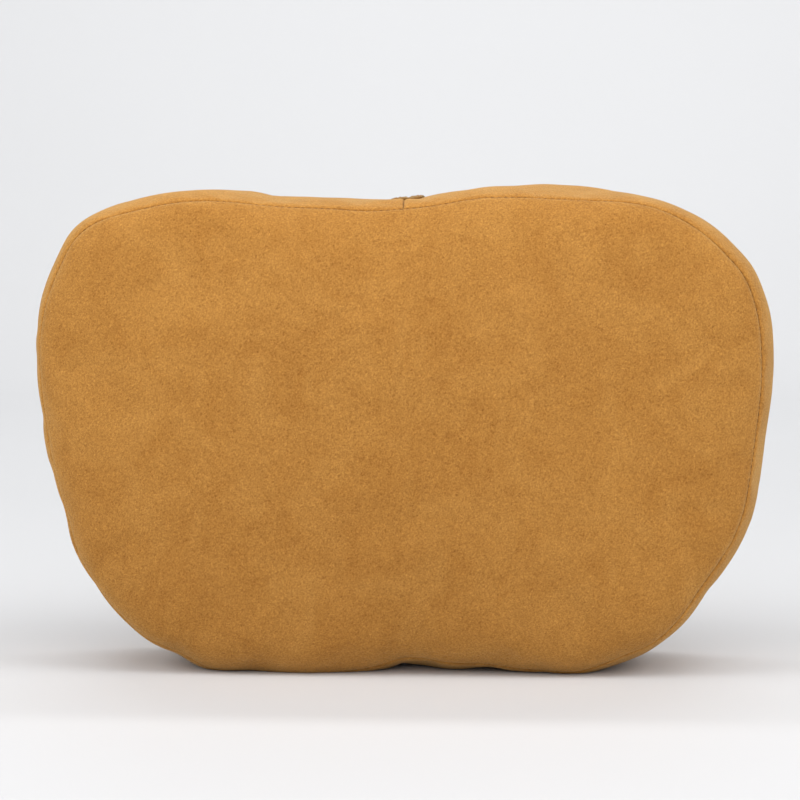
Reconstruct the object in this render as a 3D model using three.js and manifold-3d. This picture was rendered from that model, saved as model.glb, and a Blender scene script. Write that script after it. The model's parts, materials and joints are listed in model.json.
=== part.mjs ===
// A shiatsu neck massager: a bean-shaped cushion in a zipped suede cover, standing on its lower edge.
// Inside it one motor turns a worm between two worm wheels, and each wheel turns a head with two nodes.
// Millimetres. X is to the right seen from the massage face, Y runs from that face to the back, Z is up.
// The origin is on the surface that the cushion stands on, below its middle.
import * as THREE from "three";
import { mergeVertices } from "three/addons/utils/BufferGeometryUtils.js";
import Module from "manifold-3d";

const wasm = await Module();
wasm.setup();

// ---------------------------------------------------------------- driving dimensions
const GAP = 0.3; // between neighbouring pieces
const SIDES = 16; // of a turned piece, and fewer where it is slim
const SLIM = { r: 7, sides: 12 };
const CURVE = 2; // a quarter circle in an outline has twice as many steps, and more where it is large
const LARGE_CURVE = 4;

const CLOTH = 2.4; // suede with its laminated foam
const OUTLINE_STEPS = 52; // points round the cushion
const CENTRE_Z = 110; // the outline shrinks towards this height
const FACE_Y = -50; // the middle of the massage face
const BACK_Y = 47; // the flat of the back
const FRONT_SEAM = [5, -41.5]; // inset from the outline, depth
const BACK_SEAM = [5, 39];

const CHASSIS = { halfWidth: 130, low: 29, high: 189, corner: 60, front: 1, back: 41, wall: 2.4 };
const PLATE = { front: -2.3, back: 0.7, boss: 6 };
const POST = { x: 100, low: 56, high: 162, r: 5.5 };
const PLATE_SCREW = { r: 1.7, head: 3.6, length: 16 };

const HEAD_X = 56; // each head turns about an axis this far from the middle
const HEAD_Z = 112;
const DRIVE_Y = 20; // the middle plane of the worm wheels, and the worm's axis
const TEETH = 60;
const MODULE = 1.6;
const WHEEL_R = (TEETH * MODULE) / 2;
const WORM_R = HEAD_X - WHEEL_R;
const LEAD = Math.PI * MODULE;
const ADDENDUM = 1.35;
const DEDENDUM = 1.95;
const HALF_TOOTH = LEAD / 4.5; // at the pitch line, which leaves a ninth of the pitch as backlash
const PRESSURE = Math.tan(THREE.MathUtils.degToRad(20));
const WHEEL = { halfWidth: 6, halfWeb: 2.7, rim: 40.5, hub: 11, hubFront: 7.8, hubBack: 27.7 };
const WORM_HALF = 12;

const AXLE = { r: 4, front: -11, back: 38, bore: 2.3 };
const BUSH = { r: 6.7, hole: 7, flange: 9.5, thick: 1.2 };
const REAR_BOSS = 29.5; // the front end of the bosses on the chassis's back wall
const CARRIER = { front: -11, back: -4, r: 12, orbit: 26, turn: 0.5 };
const NODES = { tall: { r: 18, reach: 22.5, side: 1 }, short: { r: 15, reach: 17.5, side: -1 } };
const CAP_WALL = 3;
const CHAMBER = { r: 50, front: -34.6 }; // room for each head to turn

const SHAFT = { r: 2.5, low: 38.4, high: 147 };
const MOTOR = { r: 16, low: 40, high: 80, wall: 1.4, cap: 36 };
const ROTOR = { r: 12.3, low: 46, high: 74 };
const MAGNET = { inner: 13, halfAngle: 1.2 };
const MOUNT_TOP = 83;
const BEARING = { r: 6.7, low: 138.8, high: 143.8 };

const LINER = { front: -35.7, back: -34.9 };
const FILM = { front: -36.6, back: -36 };
const PAD_BACK = -36.9;
const REAR_PAD = { front: 41.4, back: 44.2 };

const POD = { y: 6, z: 133, half: [12, 28], wall: 2, mouth: -161.3, base: -130.3 };
const BEZEL = { face: -163.6, back: -161.6 };
const POWER = { z: 149, r: 6.5 };
const HEAT = { z: 127.4, r: 5.5 };
const BUTTON = { face: -164.3, end: -156.5, flange: 1.5 };
const LED = { z: 137.8, r: 2 };
const JACK = { z: 113.5, nose: 3.8, hole: 2.8, pin: 1 };
const BOARD = { face: -150, back: -148.4, half: [9.2, 25.2] };
const SWITCH = { face: -153.5, plunger: -155, half: 3, r: 1.6 };
const WIRE_PORT = { y: 7.5, z: 123.5, half: [4.5, 6], r: 3 };
const LEAD_R = 1.1;
const HEATER_HOLE = { x: -118, r: 2.5 };

const ZIP = { z: 44, halfLength: 118, halfWidth: 3.1, inner: 45, outer: 46.6 };
const SLIDER = { x: -112, half: [5.5, 4.2], base: 47.2, plate: 48.6, eye: 51.4 };
const PULL = { start: -1.5, length: 28, halfWidth: 3, thick: 1.2, y: 49.4, bar: 2, window: 4.1 };
const STRAP = { z: 128, halfWidth: 19, thick: 1.6, halfLength: 151 };
const TAB = { x: 1.3, halfWidth: 7.2, front: -7, back: 24, bottom: 212.8, top: 214 };

// ---------------------------------------------------------------- materials
const look = (color, roughness, metalness = 0) =>
  new THREE.MeshStandardMaterial({ color, roughness, metalness });
const suede = look(0xb98242, 0.95);
const foam = look(0xe9e2cf, 0.9);
const lining = look(0x3a3a3d, 0.8);
const webbing = look(0x2b2622, 0.85);
const chassisPlastic = look(0x2d2f33, 0.55);
const nylon = look(0xe8e4d8, 0.45);
const steel = look(0xb9bcc0, 0.3, 1);
const brass = look(0xb8923f, 0.35, 1);
const nodePlastic = look(0xd9d4c8, 0.5);
const nodeRubber = look(0x5b4a3e, 0.7);
const copper = look(0xa85a32, 0.4, 1);
const magnet = look(0x232323, 0.6);
const trimPlastic = look(0x3b2f26, 0.4);
const buttonPlastic = look(0xd8c6a6, 0.4);
const lensPlastic = look(0xffd9a0, 0.15);
const boardGreen = look(0x1f5a3a, 0.5);
const redWire = look(0xa82a22, 0.5);
const blackWire = look(0x1b1b1b, 0.5);

// ---------------------------------------------------------------- solids
const massager = new THREE.Group();

// A closed geometry as a manifold-3d solid, with its faces turned out.
function solid(geometry) {
  const bare = new THREE.BufferGeometry();
  bare.setAttribute("position", geometry.getAttribute("position").clone());
  if (geometry.index) bare.setIndex(geometry.index.clone());
  const merged = mergeVertices(bare, 1e-4);
  const triVerts = new Uint32Array(merged.index.array);
  const vertProperties = merged.attributes.position.array;
  const made = new wasm.Manifold(new wasm.Mesh({ numProp: 3, vertProperties, triVerts }));
  if (made.volume() > 0) return made;
  for (let i = 0; i < triVerts.length; i += 3) {
    const second = triVerts[i + 1];
    triVerts[i + 1] = triVerts[i + 2];
    triVerts[i + 2] = second;
  }
  return new wasm.Manifold(new wasm.Mesh({ numProp: 3, vertProperties, triVerts }));
}

const asSolid = (shape) => (shape.isBufferGeometry ? solid(shape) : shape);
const join = (...shapes) => shapes.map(asSolid).reduce((a, b) => a.add(b));
const cut = (...shapes) => shapes.map(asSolid).reduce((a, b) => a.subtract(b));
const common = (...shapes) => shapes.map(asSolid).reduce((a, b) => a.intersect(b));

// Adds one named piece, placed in the cushion by its mesh's position and its turn about Y.
function add(name, shape, material, place = [0, 0, 0], turn = 0) {
  const made = asSolid(shape).getMesh();
  const geometry = new THREE.BufferGeometry();
  geometry.setAttribute("position", new THREE.BufferAttribute(made.vertProperties, 3));
  geometry.setIndex(new THREE.BufferAttribute(made.triVerts, 1));
  const mesh = new THREE.Mesh(geometry, material);
  mesh.name = name;
  mesh.position.set(...place);
  mesh.rotation.y = turn;
  massager.add(mesh);
}

// A box from its lowest to its highest corner.
function box(low, high) {
  const size = high.map((v, i) => v - low[i]);
  const middle = high.map((v, i) => (v + low[i]) / 2);
  return new THREE.BoxGeometry(...size).translate(...middle);
}

// A rectangle with round corners in a plane, from its middle and its half sizes.
function rounded(middle, half, r) {
  const shape = new THREE.Shape();
  [[1, -1], [1, 1], [-1, 1], [-1, -1]].forEach(([a, b], i) => {
    const x = middle[0] + a * (half[0] - r);
    const y = middle[1] + b * (half[1] - r);
    shape.absarc(x, y, r, ((i - 1) * Math.PI) / 2, (i * Math.PI) / 2);
  });
  return shape;
}

// A flat piece with its outline in the XZ plane, from depth y0 to y1.
function slab(shape, y0, y1, curveSegments = CURVE) {
  const made = new THREE.ExtrudeGeometry(shape, { depth: y1 - y0, bevelEnabled: false, curveSegments });
  return made.rotateX(Math.PI / 2).translate(0, y1, 0);
}

// A flat piece with its outline in the YZ plane, from x0 to x1.
function sideSlab(shape, x0, x1, curveSegments = CURVE) {
  const made = new THREE.ExtrudeGeometry(shape, { depth: x1 - x0, bevelEnabled: false, curveSegments });
  return made.rotateX(Math.PI / 2).rotateZ(Math.PI / 2).translate(x0, 0, 0);
}

// A piece turned about X, Y or Z from a closed profile of [radius, place along the axis].
function turned(axis, profile, middle = [0, 0, 0]) {
  const points = [...profile, profile[0]].map((p) => new THREE.Vector2(...p));
  const sides = Math.max(...points.map((p) => p.x)) > SLIM.r ? SIDES : SLIM.sides;
  const made = new THREE.LatheGeometry(points, sides);
  if (axis === "x") made.rotateZ(-Math.PI / 2);
  if (axis === "z") made.rotateX(Math.PI / 2);
  return made.translate(...middle);
}

const tube = (axis, rIn, rOut, from, to, middle) =>
  turned(axis, [[rIn, from], [rOut, from], [rOut, to], [rIn, to]], middle);
const rod = (axis, r, from, to, middle) => tube(axis, 0, r, from, to, middle);

// Rings of equal count joined into one body, with a fan over its first and last ring.
function skin(rings) {
  const count = rings[0].length;
  const positions = rings.flat().flatMap((p) => [p.x, p.y, p.z]);
  const index = [];
  const next = (j) => (j + 1) % count;
  for (let a = 0; a < (rings.length - 1) * count; a += count) {
    const b = a + count;
    for (let j = 0; j < count; j += 1) {
      index.push(a + j, b + j, b + next(j));
      index.push(a + j, b + next(j), a + next(j));
    }
  }
  const lastRing = (rings.length - 1) * count;
  const hub = rings.length * count;
  for (const end of [rings[0], rings.at(-1)]) {
    const middle = new THREE.Vector3();
    end.forEach((p) => middle.addScaledVector(p, 1 / count));
    positions.push(middle.x, middle.y, middle.z);
  }
  for (let j = 0; j < count; j += 1) {
    index.push(hub, j, next(j));
    index.push(hub + 1, lastRing + next(j), lastRing + j);
  }
  const made = new THREE.BufferGeometry();
  made.setAttribute("position", new THREE.Float32BufferAttribute(positions, 3));
  made.setIndex(index);
  return made;
}

// ---------------------------------------------------------------- the cushion's surface
// The right half of its outline, from the notch below to the dip above, as cubic curves.
const OUTLINE_START = [0, 4.6];
const OUTLINE_CURVES = [
  [[9, 4.2], [20, -1.2], [56, -1.2]],
  [[88, -1.2], [104, 4.5], [113, 11]],
  [[136, 27], [165, 86], [165, 139]],
  [[165, 170], [155, 192], [137, 203.5]],
  [[122, 213], [98, 218.5], [74, 218.5]],
  [[48, 218.5], [30, 212.3], [0, 212.3]],
];

function cushionOutline() {
  const path = new THREE.CurvePath();
  let from = new THREE.Vector2(...OUTLINE_START);
  for (const curve of OUTLINE_CURVES) {
    const [a, b, to] = curve.map((p) => new THREE.Vector2(...p));
    path.add(new THREE.CubicBezierCurve(from, a, b, to));
    from = to;
  }
  const right = path.getSpacedPoints(OUTLINE_STEPS / 2);
  const left = right.slice(1, -1).reverse().map((p) => new THREE.Vector2(-p.x, p.y));
  return [...right, ...left];
}

const outline = cushionOutline();
const outlineCentre = new THREE.Vector2(0, CENTRE_Z);

// The outline at one depth, drawn in towards its centre.
function ring([inset, y]) {
  return outline.map((p) => {
    const inward = outlineCentre.clone().sub(p).setLength(inset);
    return new THREE.Vector3(p.x + inward.x, y, p.y + inward.y);
  });
}

// From the middle of the massage face round the side to the flat of the back, as [inset, depth].
const PROFILE = [
  [50, FACE_Y], [14, -46.8],
  FRONT_SEAM, [0, -26], [0, 24], BACK_SEAM,
  [14, 44.4], [38, BACK_Y],
];

// A profile moved into the cushion by some millimetres, or out of it.
function moved(profile, distance) {
  return profile.map((p, i) => {
    const before = profile[Math.max(i - 1, 0)];
    const after = profile[Math.min(i + 1, profile.length - 1)];
    const along = new THREE.Vector2(after[0] - before[0], after[1] - before[1]).setLength(distance);
    return [p[0] + along.y, p[1] - along.x];
  });
}

// The body at some depth under the cushion's surface, and as far above the floor.
function cushion(depth) {
  const body = skin(moved(PROFILE, depth).map(ring));
  return common(body, box([-200, -80, Math.max(depth, 0)], [200, 80, 300]));
}

const layer = (y0, y1) => box([-200, y0, -5], [200, y1, 300]);
const stuffing = cushion(CLOTH + GAP);
const podOutline = (grow) => rounded([POD.y, POD.z], POD.half.map((h) => h + grow), POD.half[0] + grow);
const podRoom = sideSlab(podOutline(GAP), -175, 1 - CHASSIS.halfWidth, LARGE_CURVE);

// ---------------------------------------------------------------- cover
function addCover() {
  const shell = cut(cushion(0), cushion(CLOTH));
  add("front_cover", common(shell, layer(-80, FRONT_SEAM[1] - GAP / 2)), suede);
  const side = common(shell, layer(FRONT_SEAM[1] + GAP / 2, BACK_SEAM[1] - GAP / 2));
  add("side_gusset", cut(side, podRoom), suede);
  const low = [-ZIP.halfLength - GAP, 40, ZIP.z - ZIP.halfWidth - GAP];
  const high = [ZIP.halfLength + GAP, 60, ZIP.z + ZIP.halfWidth + GAP];
  const rear = cut(common(shell, layer(BACK_SEAM[1] + GAP / 2, 80)), box(low, high));
  add("rear_cover_upper", common(rear, box([-200, 0, ZIP.z + GAP / 2], [200, 80, 300])), suede);
  add("rear_cover_lower", common(rear, box([-200, 0, -5], [200, 80, ZIP.z - GAP / 2])), suede);
}

function addTab() {
  const tab = box([-TAB.halfWidth, TAB.front, TAB.bottom], [TAB.halfWidth, TAB.back, TAB.top]);
  add("gusset_seam_tab", tab, suede, [TAB.x, 0, 0]);
}

function addStrap() {
  const band = cut(cushion(-GAP - STRAP.thick), cushion(-GAP));
  const low = [-STRAP.halfLength, 40, STRAP.z - STRAP.halfWidth];
  const high = [STRAP.halfLength, 60, STRAP.z + STRAP.halfWidth];
  add("rear_strap", common(band, box(low, high)), webbing);
}

function addZip() {
  const low = [-ZIP.halfLength, ZIP.inner, ZIP.z - ZIP.halfWidth];
  add("zip_chain", box(low, [ZIP.halfLength, ZIP.outer, ZIP.z + ZIP.halfWidth]), brass);

  const plate = slab(rounded([0, ZIP.z], SLIDER.half, 3), SLIDER.base, SLIDER.plate);
  const bridge = box([-3.6, SLIDER.plate - 0.1, ZIP.z - 1.2], [3.6, SLIDER.eye + 1, ZIP.z + 1.2]);
  const eye = box([-2.4, SLIDER.plate, ZIP.z - 2], [2.4, SLIDER.eye, ZIP.z + 2]);
  add("zip_slider", join(plate, cut(bridge, eye)), steel, [SLIDER.x, 0, 0]);

  // The pull's bar turns in the slider's eye, and the slider's bridge passes through its window.
  const { start, length, halfWidth, thick, bar, window } = PULL;
  const tongue = slab(rounded([start + length / 2, ZIP.z], [length / 2, halfWidth], halfWidth), 0, thick);
  const windowLow = [start + bar, -1, ZIP.z - 1.7];
  const windowHigh = [start + bar + window, thick + 1, ZIP.z + 1.7];
  add("zip_pull", cut(tongue, box(windowLow, windowHigh)), steel, [SLIDER.x, PULL.y, 0]);
}

// ---------------------------------------------------------------- padding and heater
function addPadding() {
  add("front_pad", common(stuffing, layer(-80, PAD_BACK)), foam);
  add("rear_pad", common(stuffing, layer(REAR_PAD.front, REAR_PAD.back)), foam);
  const chassisRoom = slab(chassisShape(GAP), PLATE.front - GAP, 60, LARGE_CURVE);
  const chamber = slab(rounded([0, HEAD_Z], [HEAD_X + CHAMBER.r, CHAMBER.r], CHAMBER.r), -60, 0, LARGE_CURVE);
  const channel = rod("y", HEATER_HOLE.r, -60, 0, [HEATER_HOLE.x, 0, HEAD_Z]);
  const block = common(stuffing, layer(CHAMBER.front, CHASSIS.back));
  add("foam_ring", cut(block, chassisRoom, chamber, channel, podRoom), foam);
}

function addLinerAndHeater() {
  const liner = rounded([0, HEAD_Z], [HEAD_X * 2, HEAD_X], HEAD_X);
  add("node_liner", slab(liner, LINER.front, LINER.back, LARGE_CURVE), lining);
  const film = slab(rounded([0, HEAD_Z], [100, 44], 20), FILM.front, FILM.back);
  const tail = box([HEATER_HOLE.x - 4, FILM.front, HEAD_Z - 6], [-99, FILM.back, HEAD_Z + 6]);
  add("heating_film", join(film, tail), lining);
}

// ---------------------------------------------------------------- chassis
function chassisShape(grow) {
  const middle = [0, (CHASSIS.low + CHASSIS.high) / 2];
  const half = [CHASSIS.halfWidth + grow, (CHASSIS.high - CHASSIS.low) / 2 + grow];
  return rounded(middle, half, CHASSIS.corner + grow);
}

const headPlaces = [[-HEAD_X, 0, HEAD_Z], [HEAD_X, 0, HEAD_Z]];
const postPlaces = [-POST.x, POST.x].flatMap((x) => [[x, 0, POST.low], [x, 0, POST.high]]);

function addChassis() {
  const floor = CHASSIS.back - CHASSIS.wall;
  let tray = cut(
    slab(chassisShape(0), CHASSIS.front, CHASSIS.back, LARGE_CURVE),
    slab(chassisShape(-CHASSIS.wall), -5, floor, LARGE_CURVE),
  );
  headPlaces.forEach((place) => {
    tray = join(tray, rod("y", BUSH.flange + 1.5, REAR_BOSS, floor + 1, place));
    tray = cut(tray, rod("y", BUSH.hole, 0, floor, place));
  });
  postPlaces.forEach((place) => {
    tray = join(tray, rod("y", POST.r, CHASSIS.front, floor + 1, place));
    tray = cut(tray, rod("y", PLATE_SCREW.r + GAP, 0, 20, place));
  });
  const port = sideSlab(rounded([WIRE_PORT.y, WIRE_PORT.z], WIRE_PORT.half, WIRE_PORT.r), -140, -120);
  add("rear_housing", cut(tray, port), chassisPlastic);

  let plate = slab(chassisShape(0), PLATE.front, PLATE.back, LARGE_CURVE);
  headPlaces.forEach((place) => {
    plate = join(plate, rod("y", BUSH.flange + 1.5, PLATE.back - 0.5, PLATE.boss, place));
    plate = cut(plate, rod("y", BUSH.hole, -10, 10, place));
  });
  postPlaces.forEach((place) => {
    plate = cut(plate, rod("y", PLATE_SCREW.r + 0.5, -10, 10, place));
    plate = cut(plate, rod("y", PLATE_SCREW.head + 0.4, -10, PLATE.back - 1.5, place));
  });
  plate = cut(plate, rod("y", HEATER_HOLE.r, -10, 10, [HEATER_HOLE.x, 0, HEAD_Z]));
  add("front_plate", plate, chassisPlastic);

  postPlaces.forEach((place, i) => {
    const seat = PLATE.back - 1.5 - GAP;
    const { r, head, length } = PLATE_SCREW;
    const profile = [[0, PLATE.front + 0.1], [head, PLATE.front + 0.1], [head, seat], [r, seat], [r, length], [0, length]];
    add(`plate_screw_${i + 1}`, turned("y", profile), steel, place);
  });
}

// ---------------------------------------------------------------- gears
// A wheel's teeth have straight flanks, and their helix matches the worm's thread where they meet.
function toothedRing(firstTooth) {
  const flank = [
    [WHEEL_R - DEDENDUM, HALF_TOOTH + DEDENDUM * PRESSURE],
    [WHEEL_R + ADDENDUM, HALF_TOOTH - ADDENDUM * PRESSURE],
  ];
  const corners = [...flank.map(([r, half]) => [r, -half]), ...flank.reverse()];
  const points = [];
  for (let tooth = 0; tooth < TEETH; tooth += 1) {
    for (const [r, across] of corners) {
      const angle = firstTooth + (tooth * 2 * Math.PI) / TEETH + across / WHEEL_R;
      points.push(new THREE.Vector2(r * Math.sin(angle), r * Math.cos(angle)));
    }
  }
  const outlineShape = new THREE.Shape(points);
  outlineShape.holes.push(new THREE.Path().absarc(0, 0, WHEEL.rim, 0, 2 * Math.PI));
  const blank = slab(outlineShape, DRIVE_Y - WHEEL.halfWidth, DRIVE_Y + WHEEL.halfWidth);
  const twist = LEAD / (2 * Math.PI * WORM_R) / WHEEL_R;
  const vertices = blank.getAttribute("position");
  const vertex = new THREE.Vector3();
  for (let i = 0; i < vertices.count; i += 1) {
    vertex.fromBufferAttribute(vertices, i);
    vertex.applyAxisAngle(new THREE.Vector3(0, 1, 0), twist * (vertex.y - DRIVE_Y));
    vertices.setXYZ(i, vertex.x, vertex.y, vertex.z);
  }
  return blank;
}

function wormWheel(firstTooth) {
  const { halfWeb, rim, hub, hubFront, hubBack } = WHEEL;
  const bore = AXLE.r + GAP;
  const profile = [[bore, hubFront], [hub, hubFront], [hub, DRIVE_Y - halfWeb], [rim + 1, DRIVE_Y - halfWeb],
    [rim + 1, DRIVE_Y + halfWeb], [hub, DRIVE_Y + halfWeb], [hub, hubBack], [bore, hubBack]];
  let wheel = join(toothedRing(firstTooth), turned("y", profile));
  for (let i = 0; i < 4; i += 1) {
    const angle = (i * Math.PI) / 2;
    wheel = cut(wheel, rod("y", 6.5, 0, 40, [26 * Math.sin(angle), 0, 26 * Math.cos(angle)]));
  }
  return wheel;
}

// A single right-handed thread, swept up a helix, on a round core.
function wormSolid() {
  const root = WORM_R - DEDENDUM;
  const sunk = root - 0.5;
  const tip = WORM_R + ADDENDUM;
  const halfAt = (r) => HALF_TOOTH + (WORM_R - r) * PRESSURE;
  const section = [[sunk, -halfAt(sunk)], [tip, -halfAt(tip)], [tip, halfAt(tip)], [sunk, halfAt(sunk)]];
  const turns = 6;
  const rings = [];
  for (let i = 0; i <= turns * SIDES; i += 1) {
    const angle = 2 * Math.PI * (i / SIDES - turns / 2);
    rings.push(section.map(([r, across]) => {
      const z = HEAD_Z + (LEAD * angle) / (2 * Math.PI) + across;
      return new THREE.Vector3(r * Math.cos(angle), r * Math.sin(angle), z);
    }));
  }
  const low = HEAD_Z - WORM_HALF;
  const high = HEAD_Z + WORM_HALF;
  const worm = join(rod("z", root, low - 3, high + 3), skin(rings));
  const length = box([-20, -20, low], [20, 20, high]);
  return cut(common(worm, length), rod("z", SHAFT.r + GAP, 0, 200));
}

// ---------------------------------------------------------------- heads
// A domed node stands forward of its carrier. Its profile widens from the foot and closes in a dome.
function dome(r, reach) {
  const shoulder = 0.35 * reach;
  const points = [[0.86 * r, GAP]];
  const steps = 5;
  for (let i = 0; i <= steps; i += 1) {
    const angle = (i * Math.PI) / (2 * steps);
    points.push([r * Math.cos(angle), shoulder + (reach - shoulder) * Math.sin(angle)]);
  }
  points.at(-1)[0] = 0;
  return points;
}

const forward = (profile) => profile.map(([r, height]) => [r, CARRIER.front - height]);

function nodeCore({ r, reach }) {
  const inside = dome(r - CAP_WALL - GAP, reach - CAP_WALL - GAP);
  return turned("y", forward([[0, -6], [AXLE.r, -6], [AXLE.r, GAP], ...inside]));
}

function nodeCap({ r, reach }) {
  const outside = dome(r, reach);
  const inside = dome(r - CAP_WALL, reach - CAP_WALL);
  return turned("y", forward([...outside, ...inside.reverse()]));
}

function carrier() {
  const half = [CARRIER.r, CARRIER.orbit + CARRIER.r];
  const bar = slab(rounded([0, 0], half, CARRIER.r), CARRIER.front, CARRIER.back);
  const holes = [-CARRIER.orbit, 0, CARRIER.orbit].map((z) => rod("y", AXLE.r + GAP, -20, 0, [0, 0, z]));
  return cut(bar, ...holes);
}

function carrierScrew() {
  const seat = CARRIER.front - GAP;
  const profile = [[0, seat - 3], [5.4, seat - 3], [6.4, seat - 2], [6.4, seat], [2, seat], [2, -4], [0, -4]];
  return turned("y", profile);
}

function frontBush() {
  const { r, flange, thick } = BUSH;
  const seat = PLATE.boss + GAP;
  const bore = AXLE.r + GAP;
  return turned("y", [[bore, PLATE.front], [r, PLATE.front], [r, seat], [flange, seat], [flange, seat + thick],
    [bore, seat + thick]]);
}

function rearBush() {
  const { r, flange, thick } = BUSH;
  const seat = REAR_BOSS - GAP;
  const bore = AXLE.r + GAP;
  return turned("y", [[bore, AXLE.back], [r, AXLE.back], [r, seat], [flange, seat], [flange, seat - thick],
    [bore, seat - thick]]);
}

function addHead(side, sign) {
  const place = [sign * HEAD_X, 0, HEAD_Z];
  const turn = -sign * CARRIER.turn;
  const firstTooth = sign < 0 ? Math.PI / 2 : Math.PI / 2 + Math.PI / TEETH;
  const axle = cut(rod("y", AXLE.r, AXLE.front, AXLE.back), rod("y", AXLE.bore, -20, -2));
  add(`worm_wheel_${side}`, wormWheel(firstTooth), nylon, place);
  add(`axle_${side}`, axle, steel, place);
  add(`front_bush_${side}`, frontBush(), brass, place);
  add(`rear_bush_${side}`, rearBush(), brass, place);
  add(`carrier_${side}`, carrier(), nylon, place, turn);
  add(`carrier_screw_${side}`, carrierScrew(), steel, place);
  for (const [size, node] of Object.entries(NODES)) {
    const along = CARRIER.orbit * node.side;
    const nodePlace = [place[0] + along * Math.sin(turn), 0, place[2] + along * Math.cos(turn)];
    add(`node_core_${side}_${size}`, nodeCore(node), nodePlastic, nodePlace);
    add(`node_cap_${side}_${size}`, nodeCap(node), nodeRubber, nodePlace);
  }
}

// ---------------------------------------------------------------- motor
function addMotor() {
  const place = [0, DRIVE_Y, 0];
  const inside = MOTOR.r - MOTOR.wall;
  const lid = MOTOR.high - MOTOR.wall;
  const throat = SHAFT.r + 0.7;
  const can = [[inside, MOTOR.low], [MOTOR.r, MOTOR.low], [MOTOR.r, MOTOR.high - 0.8],
    [MOTOR.r - 0.8, MOTOR.high], [throat, MOTOR.high], [throat, lid], [inside, lid]];
  add("motor_can", turned("z", can), steel, place);

  const spigot = inside - GAP;
  const bore = SHAFT.r + GAP;
  const cap = [[0, MOTOR.cap], [MOTOR.r, MOTOR.cap], [MOTOR.r, MOTOR.low - GAP], [spigot, MOTOR.low - GAP],
    [spigot, MOTOR.low + 3], [bore, MOTOR.low + 3], [bore, SHAFT.low - 0.4], [0, SHAFT.low - 0.4]];
  const terminals = [-7, 7].map((x) => box([x - 1.5, -0.4, MOTOR.cap - 3], [x + 1.5, 0.4, MOTOR.cap + 0.5]));
  add("motor_end_cap", join(turned("z", cap), ...terminals), nylon, place);

  add("motor_rotor", tube("z", bore, ROTOR.r, ROTOR.low, ROTOR.high), copper, place);
  for (const [side, middle] of [["left", Math.PI], ["right", 0]]) {
    const arc = new THREE.Shape();
    arc.absarc(0, 0, spigot, middle - MAGNET.halfAngle, middle + MAGNET.halfAngle);
    arc.absarc(0, 0, MAGNET.inner, middle + MAGNET.halfAngle, middle - MAGNET.halfAngle, true);
    const depth = ROTOR.high - ROTOR.low;
    const piece = new THREE.ExtrudeGeometry(arc, { depth, bevelEnabled: false, curveSegments: 4 });
    add(`motor_magnet_${side}`, piece, magnet, [0, DRIVE_Y, ROTOR.low]);
  }

  add("motor_shaft", rod("z", SHAFT.r, SHAFT.low, SHAFT.high), steel, place);
  add("worm", wormSolid(), steel, place);
}

// Both brackets stand on the chassis's back wall, between the two wheels.
function addBrackets() {
  const wall = CHASSIS.back - CHASSIS.wall - GAP;
  const shelf = box([-13, 5, MOTOR.high + GAP], [13, wall, MOUNT_TOP]);
  const foot = box([-13, wall - 2.4, MOTOR.high + GAP], [13, wall, MOUNT_TOP + 15]);
  add("motor_mount", cut(join(shelf, foot), rod("z", 6, 0, 200, [0, DRIVE_Y, 0])), steel);

  const block = join(
    rod("z", 10, BEARING.low - 0.5, BEARING.high + 0.5, [0, DRIVE_Y, 0]),
    box([-10, DRIVE_Y, BEARING.low - 0.5], [10, wall, BEARING.high + 0.5]),
  );
  add("bearing_block", cut(block, rod("z", BEARING.r + GAP, 0, 200, [0, DRIVE_Y, 0])), chassisPlastic);
  add("shaft_bearing", tube("z", SHAFT.r + GAP, BEARING.r, BEARING.low, BEARING.high), brass, [0, DRIVE_Y, 0]);
}

// ---------------------------------------------------------------- controls
function button({ r, z }) {
  const { face, end, flange } = BUTTON;
  const seat = BEZEL.back + GAP;
  const profile = [[0, face], [r - 0.7, face], [r, face + 0.7], [r, seat], [r + flange, seat],
    [r + flange, seat + 1.2], [2.5, seat + 1.2], [2.5, end], [0, end]];
  return turned("x", profile, [0, POD.y, z]);
}

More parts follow.
